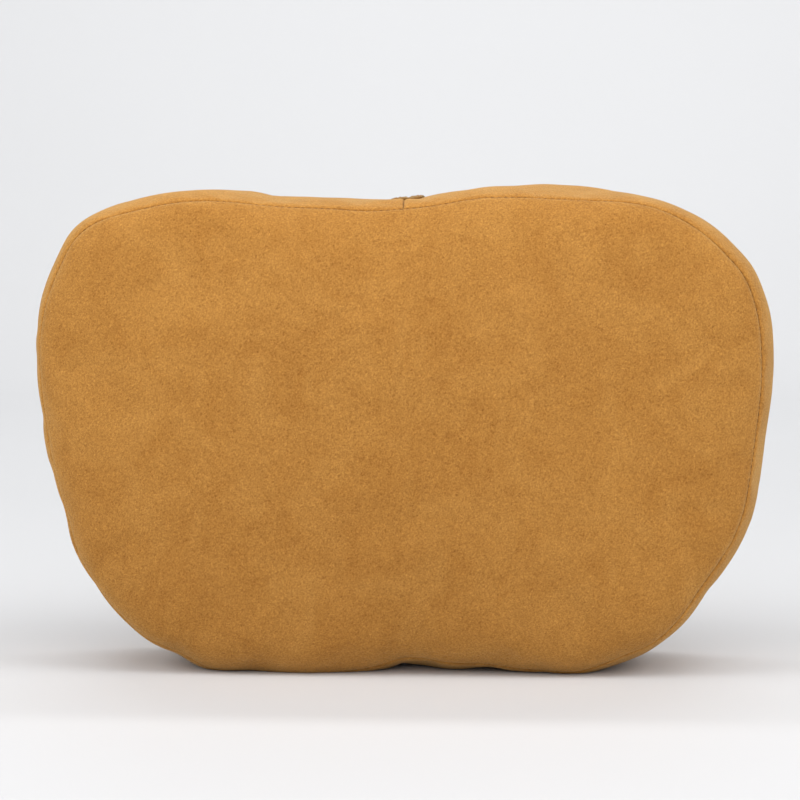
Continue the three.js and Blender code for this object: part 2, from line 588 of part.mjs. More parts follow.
function addControls() {
  const port = sideSlab(rounded([WIRE_PORT.y, WIRE_PORT.z], WIRE_PORT.half, WIRE_PORT.r), -140, -120);
  const hollow = sideSlab(podOutline(-POD.wall), POD.mouth - 1, POD.base - POD.wall, LARGE_CURVE);
  add("control_pod", cut(sideSlab(podOutline(0), POD.mouth, POD.base, LARGE_CURVE), hollow, port), trimPlastic);

  let bezel = sideSlab(podOutline(0), BEZEL.face, BEZEL.back, LARGE_CURVE);
  for (const { z, r } of [POWER, HEAT, LED, { z: JACK.z, r: JACK.nose }]) {
    bezel = cut(bezel, rod("x", r + GAP, -170, -150, [0, POD.y, z]));
  }
  add("control_bezel", bezel, trimPlastic);
  add("power_button", button(POWER), buttonPlastic);
  add("heat_button", button(HEAT), buttonPlastic);

  const seat = BEZEL.back + GAP;
  const lens = [[0, BUTTON.face], [1.3, BUTTON.face], [LED.r, BUTTON.face + 0.7], [LED.r, seat],
    [LED.r + 0.7, seat], [LED.r + 0.7, seat + 1], [0, seat + 1]];
  add("led_lens", turned("x", lens, [0, POD.y, LED.z]), lensPlastic);

  const middle = [0, POD.y, JACK.z];
  const body = box([seat, POD.y - 4.5, JACK.z - 4.5], [BOARD.face - GAP, POD.y + 4.5, JACK.z + 4.5]);
  const barrel = join(body, rod("x", JACK.nose, BUTTON.face, seat + 0.5, middle));
  const socket = cut(barrel, rod("x", JACK.hole, -170, -153, middle));
  add("dc_jack", join(socket, rod("x", JACK.pin, BEZEL.face + 1, -152.5, middle)), trimPlastic);

  const sheet = sideSlab(rounded([POD.y, POD.z], BOARD.half, BOARD.half[0]), BOARD.face, BOARD.back, LARGE_CURVE);
  const switches = [POWER.z, HEAT.z].flatMap((z) => [
    box([SWITCH.face, POD.y - SWITCH.half, z - SWITCH.half], [BOARD.face + 0.2, POD.y + SWITCH.half, z + SWITCH.half]),
    rod("x", SWITCH.r, SWITCH.plunger, SWITCH.face + 0.2, [0, POD.y, z]),
  ]);
  add("control_board", join(sheet, ...switches), boardGreen);
}

// A round wire along a smooth curve through its points.
function wire(points, r) {
  const path = new THREE.CatmullRomCurve3(points.map((p) => new THREE.Vector3(...p)), false, "centripetal");
  const section = new THREE.Shape().absarc(0, 0, r, 0, 2 * Math.PI);
  return new THREE.ExtrudeGeometry(section, { steps: 28, curveSegments: 3, extrudePath: path });
}

// The leads start at the control board, and pass through the port into the chassis.
function addLeads() {
  const start = BOARD.back + 0.4;
  const red = [[start, 4.6, 126], [-136, 4.6, 126], [-127, 5, 125.6], [-119, 14, 118], [-118, 26, 104],
    [-116.5, 27, 75], [-112, 27, 58], [-100, 27, 44], [-80, 27, 37.5], [-45, 26, 35.4], [-24, 22, 34.4],
    [-13, 20.2, 34.4], [-8.9, 20, 34.5]];
  add("motor_lead_red", wire(red, LEAD_R), redWire);
  const black = [[start, 8.8, 126], [-136, 8.8, 126], [-127, 9.6, 125.6], [-120, 20, 119], [-118, 32, 104],
    [-116.5, 32, 75], [-112, 32, 58], [-100, 32, 44], [-80, 32, 37.5], [-45, 32, 35.4], [-20, 31.5, 34.4],
    [-4, 31, 34.3], [4, 28.5, 34.3], [7, 24.5, 34.4], [7, 20.8, 34.5]];
  add("motor_lead_black", wire(black, LEAD_R), blackWire);
  const x = HEATER_HOLE.x;
  const heater = [[start, 6, 120.5], [-136, 6, 120.5], [-127, 6, 120], [-120.5, 6, 116.5], [x, 3.4, 112.8],
    [x, -2, HEAD_Z], [x, -18, HEAD_Z], [x, FILM.back + 0.4, HEAD_Z]];
  add("heater_lead", wire(heater, LEAD_R), blackWire);
}

addCover();
addTab();
addStrap();
addZip();
addPadding();
addLinerAndHeater();
addChassis();
addHead("left", -1);
addHead("right", 1);
addMotor();
addBrackets();
addControls();
addLeads();

export default massager;
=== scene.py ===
# Looks for a shiatsu neck massager: a bean-shaped cushion in a sewn suede cover, with its drive inside.
# Lengths are millimetres until they reach a Blender mesh, which is in metres.
import json
import math

import bmesh
import bpy
import numpy as np
from mathutils import Matrix, Vector, noise
from mathutils.bvhtree import BVHTree


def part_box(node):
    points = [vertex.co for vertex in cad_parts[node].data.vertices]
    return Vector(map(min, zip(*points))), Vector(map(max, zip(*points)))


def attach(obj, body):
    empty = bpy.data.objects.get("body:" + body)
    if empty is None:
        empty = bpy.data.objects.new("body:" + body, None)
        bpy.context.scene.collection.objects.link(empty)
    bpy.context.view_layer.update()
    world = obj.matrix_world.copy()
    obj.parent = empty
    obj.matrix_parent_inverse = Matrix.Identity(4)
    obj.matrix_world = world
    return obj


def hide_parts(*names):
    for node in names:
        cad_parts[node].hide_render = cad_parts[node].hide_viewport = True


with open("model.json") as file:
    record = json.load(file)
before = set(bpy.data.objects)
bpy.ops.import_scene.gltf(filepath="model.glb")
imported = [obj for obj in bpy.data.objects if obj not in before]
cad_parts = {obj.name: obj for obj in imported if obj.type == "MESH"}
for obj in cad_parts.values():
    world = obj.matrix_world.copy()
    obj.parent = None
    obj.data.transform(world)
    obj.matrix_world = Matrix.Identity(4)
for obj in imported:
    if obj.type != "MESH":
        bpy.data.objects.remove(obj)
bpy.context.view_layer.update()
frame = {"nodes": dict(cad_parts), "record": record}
MM = 0.001

# ---------------------------------------------------------------- sizes, as the design has them
CENTRE_Z = 110  # the outline shrinks towards this height
FACE_Y = -50  # the middle of the massage face
BACK_Y = 47  # the flat of the back
FRONT_SEAM_Y = -41.5
BACK_SEAM_Y = 39
FLAT_INSET = 50  # the faces are flat further in than this
SQUARE = 4.6  # how square the cushion's section is, as the power of its superellipse
OUTLINE_START = (0, 4.6)
OUTLINE_CURVES = [  # the right half, from the notch below to the dip above, as cubic curves
    [(9, 4.2), (20, -1.2), (56, -1.2)],
    [(88, -1.2), (104, 4.5), (113, 11)],
    [(136, 27), (165, 86), (165, 139)],
    [(165, 170), (155, 192), (137, 203.5)],
    [(122, 213), (98, 218.5), (74, 218.5)],
    [(48, 218.5), (30, 212.3), (0, 212.3)],
]
ZIP = {"z": 44, "end": 118, "slot": 3.4, "tape": 8.0}
SLIDER_X = -112
PULL = {"start": -1.5, "length": 28, "half_width": 3, "thick": 1.2, "y": 49.4}
STRAP = {"z": 128, "half_width": 19, "half_length": 151, "fold": 26.0}
TAB = {"x": 1.3, "half_width": 7.2, "front": -7, "back": 24}
POD = {"y": 6, "z": 133, "half": (12, 28)}
POWER = {"z": 149, "r": 6.5}
HEAT = {"z": 127.4, "r": 5.5}
LED = {"z": 137.8, "r": 2}
JACK = {"z": 113.5, "nose": 3.8, "hole": 2.8, "pin": 1}
FABRIC = 0.9  # the suede itself
GAP = 0.3  # between the two halves of the back where the zip ends
AROUND = 512  # points round the cover
AROUND_SIM = 256  # and round it while it is shaped as cloth
RIB_SCALE = 0.314  # a wave texture's scale that repeats once a millimetre

# ---------------------------------------------------------------- camera, light and stage
CAMERA = {"target": (-1.7, 0, 120.5), "distance": 1300, "azimuth": 2.9, "elevation": 4.6, "lens": 128.6}


def unit(azimuth, elevation):
    """The direction from the object to a viewer; azimuth 0 is in front and 90 on the right."""
    a, e = math.radians(azimuth), math.radians(elevation)
    return Vector((math.sin(a) * math.cos(e), -math.cos(a) * math.cos(e), math.sin(e)))


def add_camera():
    data = bpy.data.cameras.new("camera")
    camera = bpy.data.objects.new("camera", data)
    bpy.context.scene.collection.objects.link(camera)
    towards = unit(CAMERA["azimuth"], CAMERA["elevation"])
    camera.location = (Vector(CAMERA["target"]) + towards * CAMERA["distance"]) * MM
    camera.rotation_mode = "QUATERNION"
    camera.rotation_quaternion = (-towards).to_track_quat("-Z", "Y")
    data.lens = CAMERA["lens"]
    data.clip_start = 0.05
    bpy.context.scene.camera = camera


def add_light(name, azimuth, elevation, distance, size, power):
    data = bpy.data.lights.new(name, "AREA")
    data.shape = "RECTANGLE"
    data.size, data.size_y = size
    data.energy = power
    light = bpy.data.objects.new(name, data)
    bpy.context.scene.collection.objects.link(light)
    towards = unit(azimuth, elevation)
    light.location = Vector((0, 0, 0.1)) + towards * distance
    light.rotation_mode = "QUATERNION"
    light.rotation_quaternion = (-towards).to_track_quat("-Z", "Y")
    return light


LIGHTS = {  # azimuth and elevation in degrees, distance and size in metres, power in watts
    "front": (0, 25, 2.2, (2.0, 1.4), 19.5),
    "front_high": (0, 45, 1.5, (1.6, 1.0), 1.0),
    "near_top": (0, 62, 0.9, (1.0, 0.5), 3.7),
    "left": (-70, 30, 1.8, (1.0, 1.2), 16.8),
    "right": (70, 30, 1.8, (1.0, 1.2), 12.8),
    "right_high": (65, 52, 1.8, (1.0, 1.0), 4.9),
    "wall": (180, 65, 2.4, (2.6, 0.6), 50),
}
WALL_WASH = Vector((0, 1.2, -1.4))  # where the wall's light shines: back and down, on to the paper


def add_lights():
    world = bpy.data.worlds.new("studio")
    bpy.context.scene.world = world
    world.use_nodes = True
    world.node_tree.nodes["Background"].inputs["Color"].default_value = (0.98, 0.99, 1, 1)
    world.node_tree.nodes["Background"].inputs["Strength"].default_value = 0.1
    lights = {name: add_light(name, *light) for name, light in LIGHTS.items()}
    lights["wall"].rotation_quaternion = WALL_WASH.to_track_quat("-Z", "Y")
    bpy.context.scene.view_settings.view_transform = "Standard"


# ---------------------------------------------------------------- materials
class Look:
    """A material on one shader, and short calls that add its nodes. Sizes are millimetres."""

    def __init__(self, name, roughness=0.5, **constants):
        self.material = bpy.data.materials.new(name)
        self.material.use_nodes = True
        self.tree = self.material.node_tree
        self.shader = self.tree.nodes["Principled BSDF"]
        self.shader.inputs["Roughness"].default_value = roughness
        for socket, value in constants.items():
            self.shader.inputs[socket.replace("_", " ")].default_value = value
        self.place = self.node("ShaderNodeTexCoord").outputs["Object"]

    def node(self, kind, inputs=(), **settings):
        made = self.tree.nodes.new(kind)
        for key, value in settings.items():
            setattr(made, key, value)
        for key, value in dict(inputs).items():
            if isinstance(value, bpy.types.NodeSocket):
                self.tree.links.new(value, made.inputs[key])
            else:
                made.inputs[key].default_value = value
        return made

    def mapped(self, stretch=(1, 1, 1), turn=(0, 0, 0), shift=(0, 0, 0)):
        """Coordinates in millimetres, turned by degrees, then drawn out along each axis."""
        scale = [1 / (MM * s) for s in stretch]
        turned = self.node(
            "ShaderNodeMapping",
            {"Vector": self.place, "Rotation": [math.radians(t) for t in turn]},
        )
        return self.node(
            "ShaderNodeMapping",
            {"Vector": turned.outputs["Vector"], "Scale": scale, "Location": shift},
        ).outputs["Vector"]

    def noise(self, size, detail=2.0, rough=0.5, warp=0.0, **mapping):
        settings = {"Vector": self.mapped(**mapping), "Scale": 1 / size, "Detail": detail}
        settings |= {"Roughness": rough, "Distortion": warp}
        return self.node("ShaderNodeTexNoise", settings).outputs["Fac"]

    def cells(self, size, feature="F1", **mapping):
        settings = {"Vector": self.mapped(**mapping), "Scale": 1 / size}
        made = self.node("ShaderNodeTexVoronoi", settings, feature=feature)
        return made.outputs["Distance"]

    def ranged(self, value, from_low, from_high, low, high):
        settings = {"Value": value, "From Min": from_low, "From Max": from_high}
        settings |= {"To Min": low, "To Max": high}
        return self.node("ShaderNodeMapRange", settings).outputs["Result"]

    def math(self, operation, a, b=0.0):
        return self.node("ShaderNodeMath", {0: a, 1: b}, operation=operation).outputs["Value"]

    def mix(self, factor, a, b):
        made = self.node("ShaderNodeMix", data_type="RGBA")
        for socket, value in (("Factor_Float", factor), ("A_Color", a), ("B_Color", b)):
            end = next(i for i in made.inputs if i.identifier == socket)
            if isinstance(value, bpy.types.NodeSocket):
                self.tree.links.new(value, end)
            else:
                end.default_value = value if socket == "Factor_Float" else (*value, 1)
        return next(o for o in made.outputs if o.identifier == "Result_Color")

    def use(self, socket, value):
        self.tree.links.new(value, self.shader.inputs[socket])

    def colours(self, value, low, high, a, b):
        """The base colour goes from a to b as a value goes from low to high."""
        self.use("Base Color", self.mix(self.ranged(value, low, high, 0, 1), a, b))

    def rough(self, value, smooth, dull):
        """The roughness follows a noise, between two values."""
        self.use("Roughness", self.ranged(value, 0.3, 0.7, smooth, dull))

    def bump(self, *layers):
        """Layers of (height, depth in millimetres), from the broadest to the finest."""
        normal = None
        for height, depth in layers:
            inputs = {"Height": height, "Distance": depth * MM, "Strength": 1.0}
            if normal:
                inputs["Normal"] = normal
            normal = self.node("ShaderNodeBump", inputs).outputs["Normal"]
        self.use("Normal", normal)


def suede(name, shift, painted_light_and_shade=1.0):
    """Brushed suede cloth: a fine fibrous speckle, and broad patches where the nap lies another way."""
    look = Look(
        name,
        roughness=0.95,
        Sheen_Weight=0.38,
        Sheen_Roughness=0.4,
        Sheen_Tint=(1.0, 0.81, 0.42, 1),
        Specular_IOR_Level=0.1,
    )
    patches = look.noise(26, 4.0, 0.66, 1.2, shift=shift, stretch=(1, 1, 1.2))
    broad = look.noise(110, 2.0, 0.5, 0.4, shift=shift)
    brushed = look.noise(6.5, 2.0, 0.6, 1.4, shift=shift, stretch=(1.8, 1, 1), turn=(0, 24, 0))
    grain = look.noise(1.05, 3.0, 0.72, 0.3, shift=shift)
    fibres = look.noise(0.52, 2.0, 0.65, 0.9, shift=shift, stretch=(1.5, 1, 1), turn=(0, 52, 0))
    speck = look.cells(1.7, shift=shift)
    value = 1.0
    for layer, low, high, darker, lighter in (
        (patches, 0.3, 0.7, -0.06, 0.06),
        (broad, 0.35, 0.65, -0.025, 0.025),
        (brushed, 0.3, 0.7, -0.025, 0.025),
        (grain, 0.32, 0.68, -0.17, 0.17),
        (fibres, 0.32, 0.68, -0.27, 0.27),
        (speck, 0.06, 0.26, -0.15, 0.0),
    ):
        value = look.math("ADD", look.ranged(layer, low, high, darker, lighter), value)
    warm = look.ranged(patches, 0.3, 0.7, 0, 1)
    dyes = ((0.394, 0.177, 0.0362), (0.416, 0.197, 0.0447))
    # the dyes are multiplied by a factor: above 1 it paints light into a copy of the cloth, below 1 it
    # paints shade
    hue = look.mix(warm, *[tuple(painted_light_and_shade * c for c in dye) for dye in dyes])
    tint = look.mix(look.ranged(value, 0.5, 1.5, 0, 1), (0.54, 0.44, 0.36), (1.46, 1.54, 1.62))
    dyed = look.node("ShaderNodeVectorMath", {0: hue, 1: tint}, operation="MULTIPLY")
    look.use("Base Color", dyed.outputs["Vector"])
    look.rough(grain, 0.86, 1.0)
    look.bump((brushed, 0.3), (grain, 0.28), (fibres, 0.22))
    return look.material


def thread_look(name, colour):
    """Twisted sewing thread."""
    look = Look(name, 0.7, Specular_IOR_Level=0.2)
    twist = look.noise(0.3, 2.0, 0.5, 0.5, stretch=(1, 1, 0.5), turn=(0, 35, 0))
    dark = tuple(c * 0.6 for c in colour)
    look.colours(twist, 0.35, 0.65, dark, colour)
    look.bump((twist, 0.06))
    return look.material


# ---------------------------------------------------------------- meshes
def object_of(name, points, faces):
    """A Blender object from points in millimetres."""
    mesh = bpy.data.meshes.new(name)
    mesh.from_pydata((np.asarray(points, float) * MM).tolist(), [], faces)
    made = bpy.data.objects.new(name, mesh)
    bpy.context.scene.collection.objects.link(made)
    return made


def piece(name, points, faces, look, slot, body="cushion", sharp=None):
    """One mesh of the object, riding on a body. Its edges past an angle in degrees stay sharp."""
    points = np.array(points, float)
    points[:, 2] = np.maximum(points[:, 2], 0)  # nothing reaches below the floor
    made = object_of(name, points, faces)
    mesh = made.data
    mesh.validate()
    mesh.materials.append(look)
    mesh.shade_smooth()
    if sharp:
        mesh.set_sharp_from_angle(angle=math.radians(sharp))
    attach(made, body)
    return made


def normals_of(points, faces):
    """The normal at each point, from the faces round it."""
    total = np.zeros_like(points)
    for size in {len(f) for f in faces}:
        group = np.array([f for f in faces if len(f) == size])
        corner = points[group]
        area = np.cross(corner[:, 2] - corner[:, 0], corner[:, -1] - corner[:, 1])
        for k in range(size):
            np.add.at(total, group[:, k], area)
    return total / np.maximum(np.linalg.norm(total, axis=1), 1e-12)[:, None]


def thicken(points, faces, thickness):
    """A closed body from a sheet's outer side: its inner side and a rim are added."""
    inner = points - normals_of(points, faces) * thickness
    count = len(points)
    edges = dict.fromkeys(pair for face in faces for pair in zip(face, (*face[1:], face[0])))
    rim = [(b, a, a + count, b + count) for a, b in edges if (b, a) not in edges]
    back = [tuple(i + count for i in reversed(f)) for f in faces]
    return np.concatenate([points, inner]), [*faces, *back, *rim]


def tree_of(points, faces):
    """A search tree over a mesh."""
    return BVHTree.FromPolygons([Vector(p) for p in points], faces)


def box_of(node):
    """The lowest and highest corner of a CAD node, in millimetres."""
    return [np.array(corner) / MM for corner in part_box(node)]


# ---------------------------------------------------------------- the cushion's surface
def outline_points():
    """The closed outline, finely: from the notch to the right, over the top and back."""
    t = np.linspace(0, 1, 400)[:, None]
    start, right = np.array(OUTLINE_START, float), []
    for a, b, end in (np.array(curve, float) for curve in OUTLINE_CURVES):
        curve = start * (1 - t) ** 3 + 3 * a * t * (1 - t) ** 2 + 3 * b * t**2 * (1 - t) + end * t**3
        right.append(curve[:-1])
        start = end
    right = np.concatenate([*right, [start]])
    left = right[::-1] * (-1, 1)
    return np.concatenate([right, left[1:]])


OUTLINE = outline_points()
ALONG = np.concatenate([[0], np.cumsum(np.linalg.norm(np.diff(OUTLINE, axis=0), axis=1))])
PERIMETER = ALONG[-1]

# Where the sewn cover stands out from its pattern or sinks in: (x, z), reach and distance outward.
UNEVEN = [
    ((9, 3), 12, -1.9),
    ((38, 0), 24, -4.8),
    ((66, 0), 13, -1.7),
    ((90, 2), 12, -1.5),
    ((104, 6), 12, -2.2),
    ((127, 24), 14, 1.2),
    ((150, 67), 30, 5.0),
    ((148, 192), 12, -1.0),
    ((139, 203), 22, -2.6),
    ((82, 220), 28, -3.3),
    ((34, 215), 18, 1.6),
    ((-16, 213), 14, -1.0),
    ((-56, 218), 30, -4.1),
    ((-88, 219), 40, -1.7),
    ((-143, 199), 16, 2.8),
    ((-163, 118), 24, -1.2),
    ((-136, 40), 20, 2.3),
    ((-147, 56), 12, 1.8),
    ((-103, 5), 14, -3.0),
    ((-67, 0), 14, -2.2),
]


def outline_at(along):
    """Points of the outline at distances along it, and the directions that lead out of it there."""
    along = np.mod(along, PERIMETER)
    point = np.stack([np.interp(along, ALONG, OUTLINE[:, k]) for k in (0, 1)], axis=1)
    step = 2.0
    ends = [
        np.stack([np.interp(np.mod(along + s, PERIMETER), ALONG, OUTLINE[:, k]) for k in (0, 1)], axis=1)
        for s in (-step, step)
    ]
    tangent = ends[1] - ends[0]
    out = np.stack([tangent[:, 1], -tangent[:, 0]], axis=1)
    out /= np.linalg.norm(out, axis=1)[:, None]
    for centre, reach, height in UNEVEN:
        away = np.linalg.norm(point - centre, axis=1)
        point = point + out * (height * np.exp(-((away / reach) ** 2)))[:, None]
    return point, out


def section():
    """The cushion's section, from the flat of its face round the side to the flat of its back:
    how far along it, how far in from the outline and how deep, at many points."""
    u = np.linspace(0, 1, 3000)
    turn = math.pi * (3 * u**2 - 2 * u**3)
    out = np.abs(np.sin(turn)) ** (2 / SQUARE)
    fore = np.sign(np.cos(turn)) * np.abs(np.cos(turn)) ** (2 / SQUARE)
    inset = FLAT_INSET * (1 - out)
    depth = (FACE_Y + BACK_Y) / 2 + (FACE_Y - BACK_Y) / 2 * fore
    gone = np.hypot(np.diff(inset), np.diff(depth))
    return np.concatenate([[0], np.cumsum(gone)]), inset, depth


ACROSS, INSET, DEPTH = section()

# Where a seam runs further round to the side than its pattern has it: (x, z), reach and distance.
FRONT_SEAM_STRAYS = [
    ((0, 0), 62, 8.5),
    ((78, 0), 45, 7.0),
    ((-78, 0), 45, 8.0),
    ((-150, 60), 60, 6.0),
    ((-165, 140), 50, 2.6),
    ((130, 205), 40, 1.4),
    ((84, 218), 32, 1.7),
    ((36, 215), 45, 2.4),
    ((-50, 216), 60, 2.8),
]


def seam_place(which, along):
    """How far along the section a seam is, at distances along the outline."""
    if which == "back":
        return np.full(len(along), np.interp(BACK_SEAM_Y, DEPTH, ACROSS))
    place = np.full(len(along), np.interp(FRONT_SEAM_Y, DEPTH, ACROSS))
    point, _ = outline_at(along)
    for centre, reach, distance in FRONT_SEAM_STRAYS:
        away = np.linalg.norm(point - centre, axis=1)
        place += distance * np.exp(-((away / reach) ** 2))
    return place


# How far the massage face stands out in its middle, past its edges, and how far the crown reaches.
DOME = {"height": 8.0, "half_width": 172, "half_height": 114}


def domed(points):
    """The cushion with its massage face crowned: the face's edges lie further back than its middle."""
    u = np.clip(points[..., 0] / DOME["half_width"], -1, 1)
    v = np.clip((points[..., 2] - CENTRE_Z) / DOME["half_height"], -1, 1)
    lower = 1 - (1 - u**2) * (1 - v**2)
    points = points.copy()
    points[..., 1] += DOME["height"] * lower * np.clip(points[..., 1] / FACE_Y, 0, 1)
    return points


def surface(along, across):
    """Points of the cushion at distances along its outline and along its section."""
    return domed(flat_surface(along, across))


def shrunk(along, inset):
    """Points of the outline at distances along it, moved inward by distances."""
    point, _ = outline_at(along)
    inward = np.array([0, CENTRE_Z]) - point
    inward /= np.linalg.norm(inward, axis=1)[:, None]
    return point + inward * inset[:, None]


def flat_surface(along, across):
    """Points of the cushion before its face is crowned."""
    point = shrunk(along, np.interp(across, ACROSS, INSET))
    return np.stack([point[:, 0], np.interp(across, ACROSS, DEPTH), point[:, 1]], axis=1)


def core(loop):
    """A square grid of points that fills a closed loop, whose number of points divides by eight."""
    quarter = len(loop) // 4
    half = quarter // 2
    side = [np.roll(loop, half - k * quarter, axis=0)[: quarter + 1] for k in range(4)]
    low, right, high, left = side[0], side[1], side[2][::-1], side[3][::-1]
    s = np.linspace(0, 1, quarter + 1)[:, None, None]
    t = np.linspace(0, 1, quarter + 1)[None, :, None]
    grid = low[:, None] * (1 - t) + high[:, None] * t + left[None] * (1 - s) + right[None] * s
    grid -= (low[0] * (1 - s) + low[-1] * s) * (1 - t) + (high[0] * (1 - s) + high[-1] * s) * t
    for _ in range(3 * quarter):  # rounds of smoothing, enough for the edge's shape to reach the middle
        near = grid[:-2, 1:-1] + grid[2:, 1:-1] + grid[1:-1, :-2] + grid[1:-1, 2:]
        grid[1:-1, 1:-1] = near / 4
    return grid


def core_loop(count):
    """For each point of a core's edge, in the order of its loop, its row and column in the grid."""
    quarter = count // 4
    k = np.arange(quarter)
    corners = [(k, 0 * k), (0 * k + quarter, k), (quarter - k, 0 * k + quarter), (0 * k, quarter - k)]
    rows = np.concatenate([c[0] for c in corners])
    columns = np.concatenate([c[1] for c in corners])
    return np.roll(rows, -quarter // 2), np.roll(columns, -quarter // 2)


def core_mesh(count, loop_index, first):
    """Faces that fill a loop of given points with a grid whose own points start at first."""
    quarter = count // 4
    index = np.full((quarter + 1, quarter + 1), -1)
    rows, columns = core_loop(count)
    index[rows, columns] = loop_index
    inside = index == -1
    index[inside] = first + np.arange(inside.sum())
    faces = [
        (index[i, k], index[i + 1, k], index[i + 1, k + 1], index[i, k + 1])
        for i in range(quarter)
        for k in range(quarter)
    ]
    return [tuple(int(v) for v in f) for f in faces], inside


def strip_faces(rows, columns, closed, first=0):
    """Faces between rows of points, each row running round the cushion."""
    made = []
    for r in range(rows - 1):
        for c in range(columns if closed else columns - 1):
            a, b = first + r * columns + c, first + (r + 1) * columns + c
            d = (c + 1) % columns - c
            made.append((a, b, b + d, a + d))
    return made


# ---------------------------------------------------------------- the cover, shaped as cloth
PANELS = ["front", "side", "back"]
SIM_ROWS = {"front": 13, "side": 22, "back": 13}
ROLLED = 4.2  # the cloth beside a seam, where its roll has rows of its own


def panel_edges(panel, along):
    """Where a panel begins and ends along the section."""
    front, back = seam_place("front", along), seam_place("back", along)
    if panel == "front":
        return np.zeros(len(along)), front
    return (front, back) if panel == "side" else (back, np.full(len(along), ACROSS[-1]))


def shaped_cover():
    """How far the cloth moves from its plain shape: for rows round it, at places from 0 at the middle
    of the face to 3 at the middle of the back, and for the grids that fill the two faces."""
    along = np.arange(AROUND_SIM) / AROUND_SIM * PERIMETER
    places, rings, seams = [], [], []
    for number, panel in enumerate(PANELS):
        start, end = panel_edges(panel, along)
        for share in np.linspace(0, 1, SIM_ROWS[panel] + 1)[0 if panel == "front" else 1 :]:
            if share == 1 and panel != "back":
                seams.append(len(rings))
            places.append(number + share)
            rings.append(flat_surface(along, start + (end - start) * share))
    points = np.concatenate(rings)
    faces = strip_faces(len(rings), AROUND_SIM, True)
    cores = []
    for edge in (0, len(rings) - 1):
        grid = core(rings[edge])
        loop = edge * AROUND_SIM + np.arange(AROUND_SIM)
        made, inside = core_mesh(AROUND_SIM, loop, len(points))
        cores.append((edge, len(points), inside))
        points = np.concatenate([points, grid[inside]])
        faces += [tuple(reversed(f)) for f in made] if edge else made
    points = domed(points)
    held = np.zeros(len(points))
    for row in seams:
        held[row * AROUND_SIM : (row + 1) * AROUND_SIM] = 1
    moved = inflate(points, faces, held) - points
    ring_moves = moved[: len(rings) * AROUND_SIM].reshape(len(rings), AROUND_SIM, 3)
    core_moves = []
    for edge, start, inside in cores:
        grid = np.zeros((*inside.shape, 3))
        grid[core_loop(AROUND_SIM)] = ring_moves[edge]
        grid[inside] = moved[start : start + inside.sum()]
        core_moves.append(grid)
    return np.array(places), ring_moves, core_moves


def inflate(points, faces, held):
    """The cover as cloth under a little pressure from its stuffing. Points held 1 stay where they are."""
    cloth = object_of("cloth", points, faces)
    group = cloth.vertex_groups.new(name="held")
    for i in np.nonzero(held)[0]:
        group.add([int(i)], float(held[i]), "REPLACE")
    modifier = cloth.modifiers.new("cloth", "CLOTH")
    settings = modifier.settings
    settings.quality = 5
    settings.mass = 0.3
    settings.tension_stiffness = settings.compression_stiffness = 25
    settings.shear_stiffness = 10
    settings.bending_stiffness = 2.0
    settings.use_pressure = True
    settings.uniform_pressure_force = 2.5
    settings.shrink_min = -0.012
    settings.vertex_group_mass = "held"
    settings.effector_weights.gravity = 0
    frames = 20
    modifier.point_cache.frame_start, modifier.point_cache.frame_end = 1, frames
    for number in range(1, frames + 1):
        bpy.context.scene.frame_set(number)
    shown = cloth.evaluated_get(bpy.context.evaluated_depsgraph_get())
    result = np.array([v.co for v in shown.data.vertices]) / MM
    bpy.data.objects.remove(cloth)
    bpy.context.scene.frame_set(1)
    return result


# ---------------------------------------------------------------- the cover's panels
# A sewn edge rolls in to the seam, as (distance from the seam, depth below the surface).
ROLL = [(0.02, 1.5), (0.10, 0.95), (0.30, 0.52), (0.75, 0.20), (1.4, 0.04), (2.3, -0.06), (3.5, -0.05)]
FACE_ROWS = 18
SIDE_ROWS = 28
PLAIN_GAP = 1.0  # between a roll's rows and the plain ones
FOAM_HOLDS = 0.42  # the share of the cloth's own movement that its foam backing lets through


def spline(values, at):
    """Values along the first axis at fractional places, on a smooth curve; the first axis is a loop."""
    low = np.floor(at).astype(int)
    t = (at - low).reshape(-1, *[1] * (values.ndim - 1))
    p0, p1, p2, p3 = (values[(low + k) % len(values)] for k in (-1, 0, 1, 2))
    a, b, c = 2 * p1, p2 - p0, 2 * p0 - 5 * p1 + 4 * p2 - p3
    return (a + b * t + c * t**2 + (3 * p1 - p0 - 3 * p2 + p3) * t**3) / 2


def doubled(grid):
    """A grid of moves with a point added halfway between each two, both ways."""
    for _ in range(2):
        fine = np.zeros((2 * len(grid) - 1, *grid.shape[1:]))
        fine[::2] = grid
        fine[1::2] = (grid[1:] + grid[:-1]) / 2
        grid = fine.swapaxes(0, 1)
    return grid


PLACES, RING_MOVES, CORE_MOVES = shaped_cover()


def moves_at(places, along):
    """The cloth's movement at places across the cover and distances along it."""
    low = np.clip(np.searchsorted(PLACES, places, side="right") - 1, 0, len(PLACES) - 2)
    t = ((places - PLACES[low]) / (PLACES[low + 1] - PLACES[low]))[:, None]
    at = along / PERIMETER * AROUND_SIM
    rows = [spline(row, at) for row in RING_MOVES]
    picked = np.array(rows)
    every = np.arange(len(along))
    return (picked[low, every] * (1 - t) + picked[low + 1, every] * t) * FOAM_HOLDS


def waves(points, size, seed):
    """Smooth noise at points, for features of a size in millimetres."""
    places = np.asarray(points, float) / size
    return np.array([noise.noise(Vector(p) + Vector((seed, 0, 0))) for p in places])


def side_lumps(points, share):
    """The uneven filling of the gusset, in millimetres outward, at a share of the way across it."""
    full = max(0.0, math.sin(math.pi * share)) ** 0.7
    flat = points * (1, 0.6, 1)
    return full * (1.5 * waves(flat, 46, 3.1) + 0.7 * waves(flat, 17, 8.7))


def puckers(along, seed):
    """How much deeper or shallower the cloth lies beside its seam, along it."""
    ring = np.stack([along, np.zeros_like(along), np.full_like(along, seed)], axis=1)
    return 0.16 * waves(ring, 7.5, seed) + 0.1 * waves(ring, 21, seed + 5)


# How far the base sags at its edges and in its middle, how deep the middle reaches, up to what
# height the cloth follows, and how softly it meets the floor.
SETTLE = {"edges": 0.6, "middle": 4.8, "reach": 36, "height": 11, "soft": 0.35}


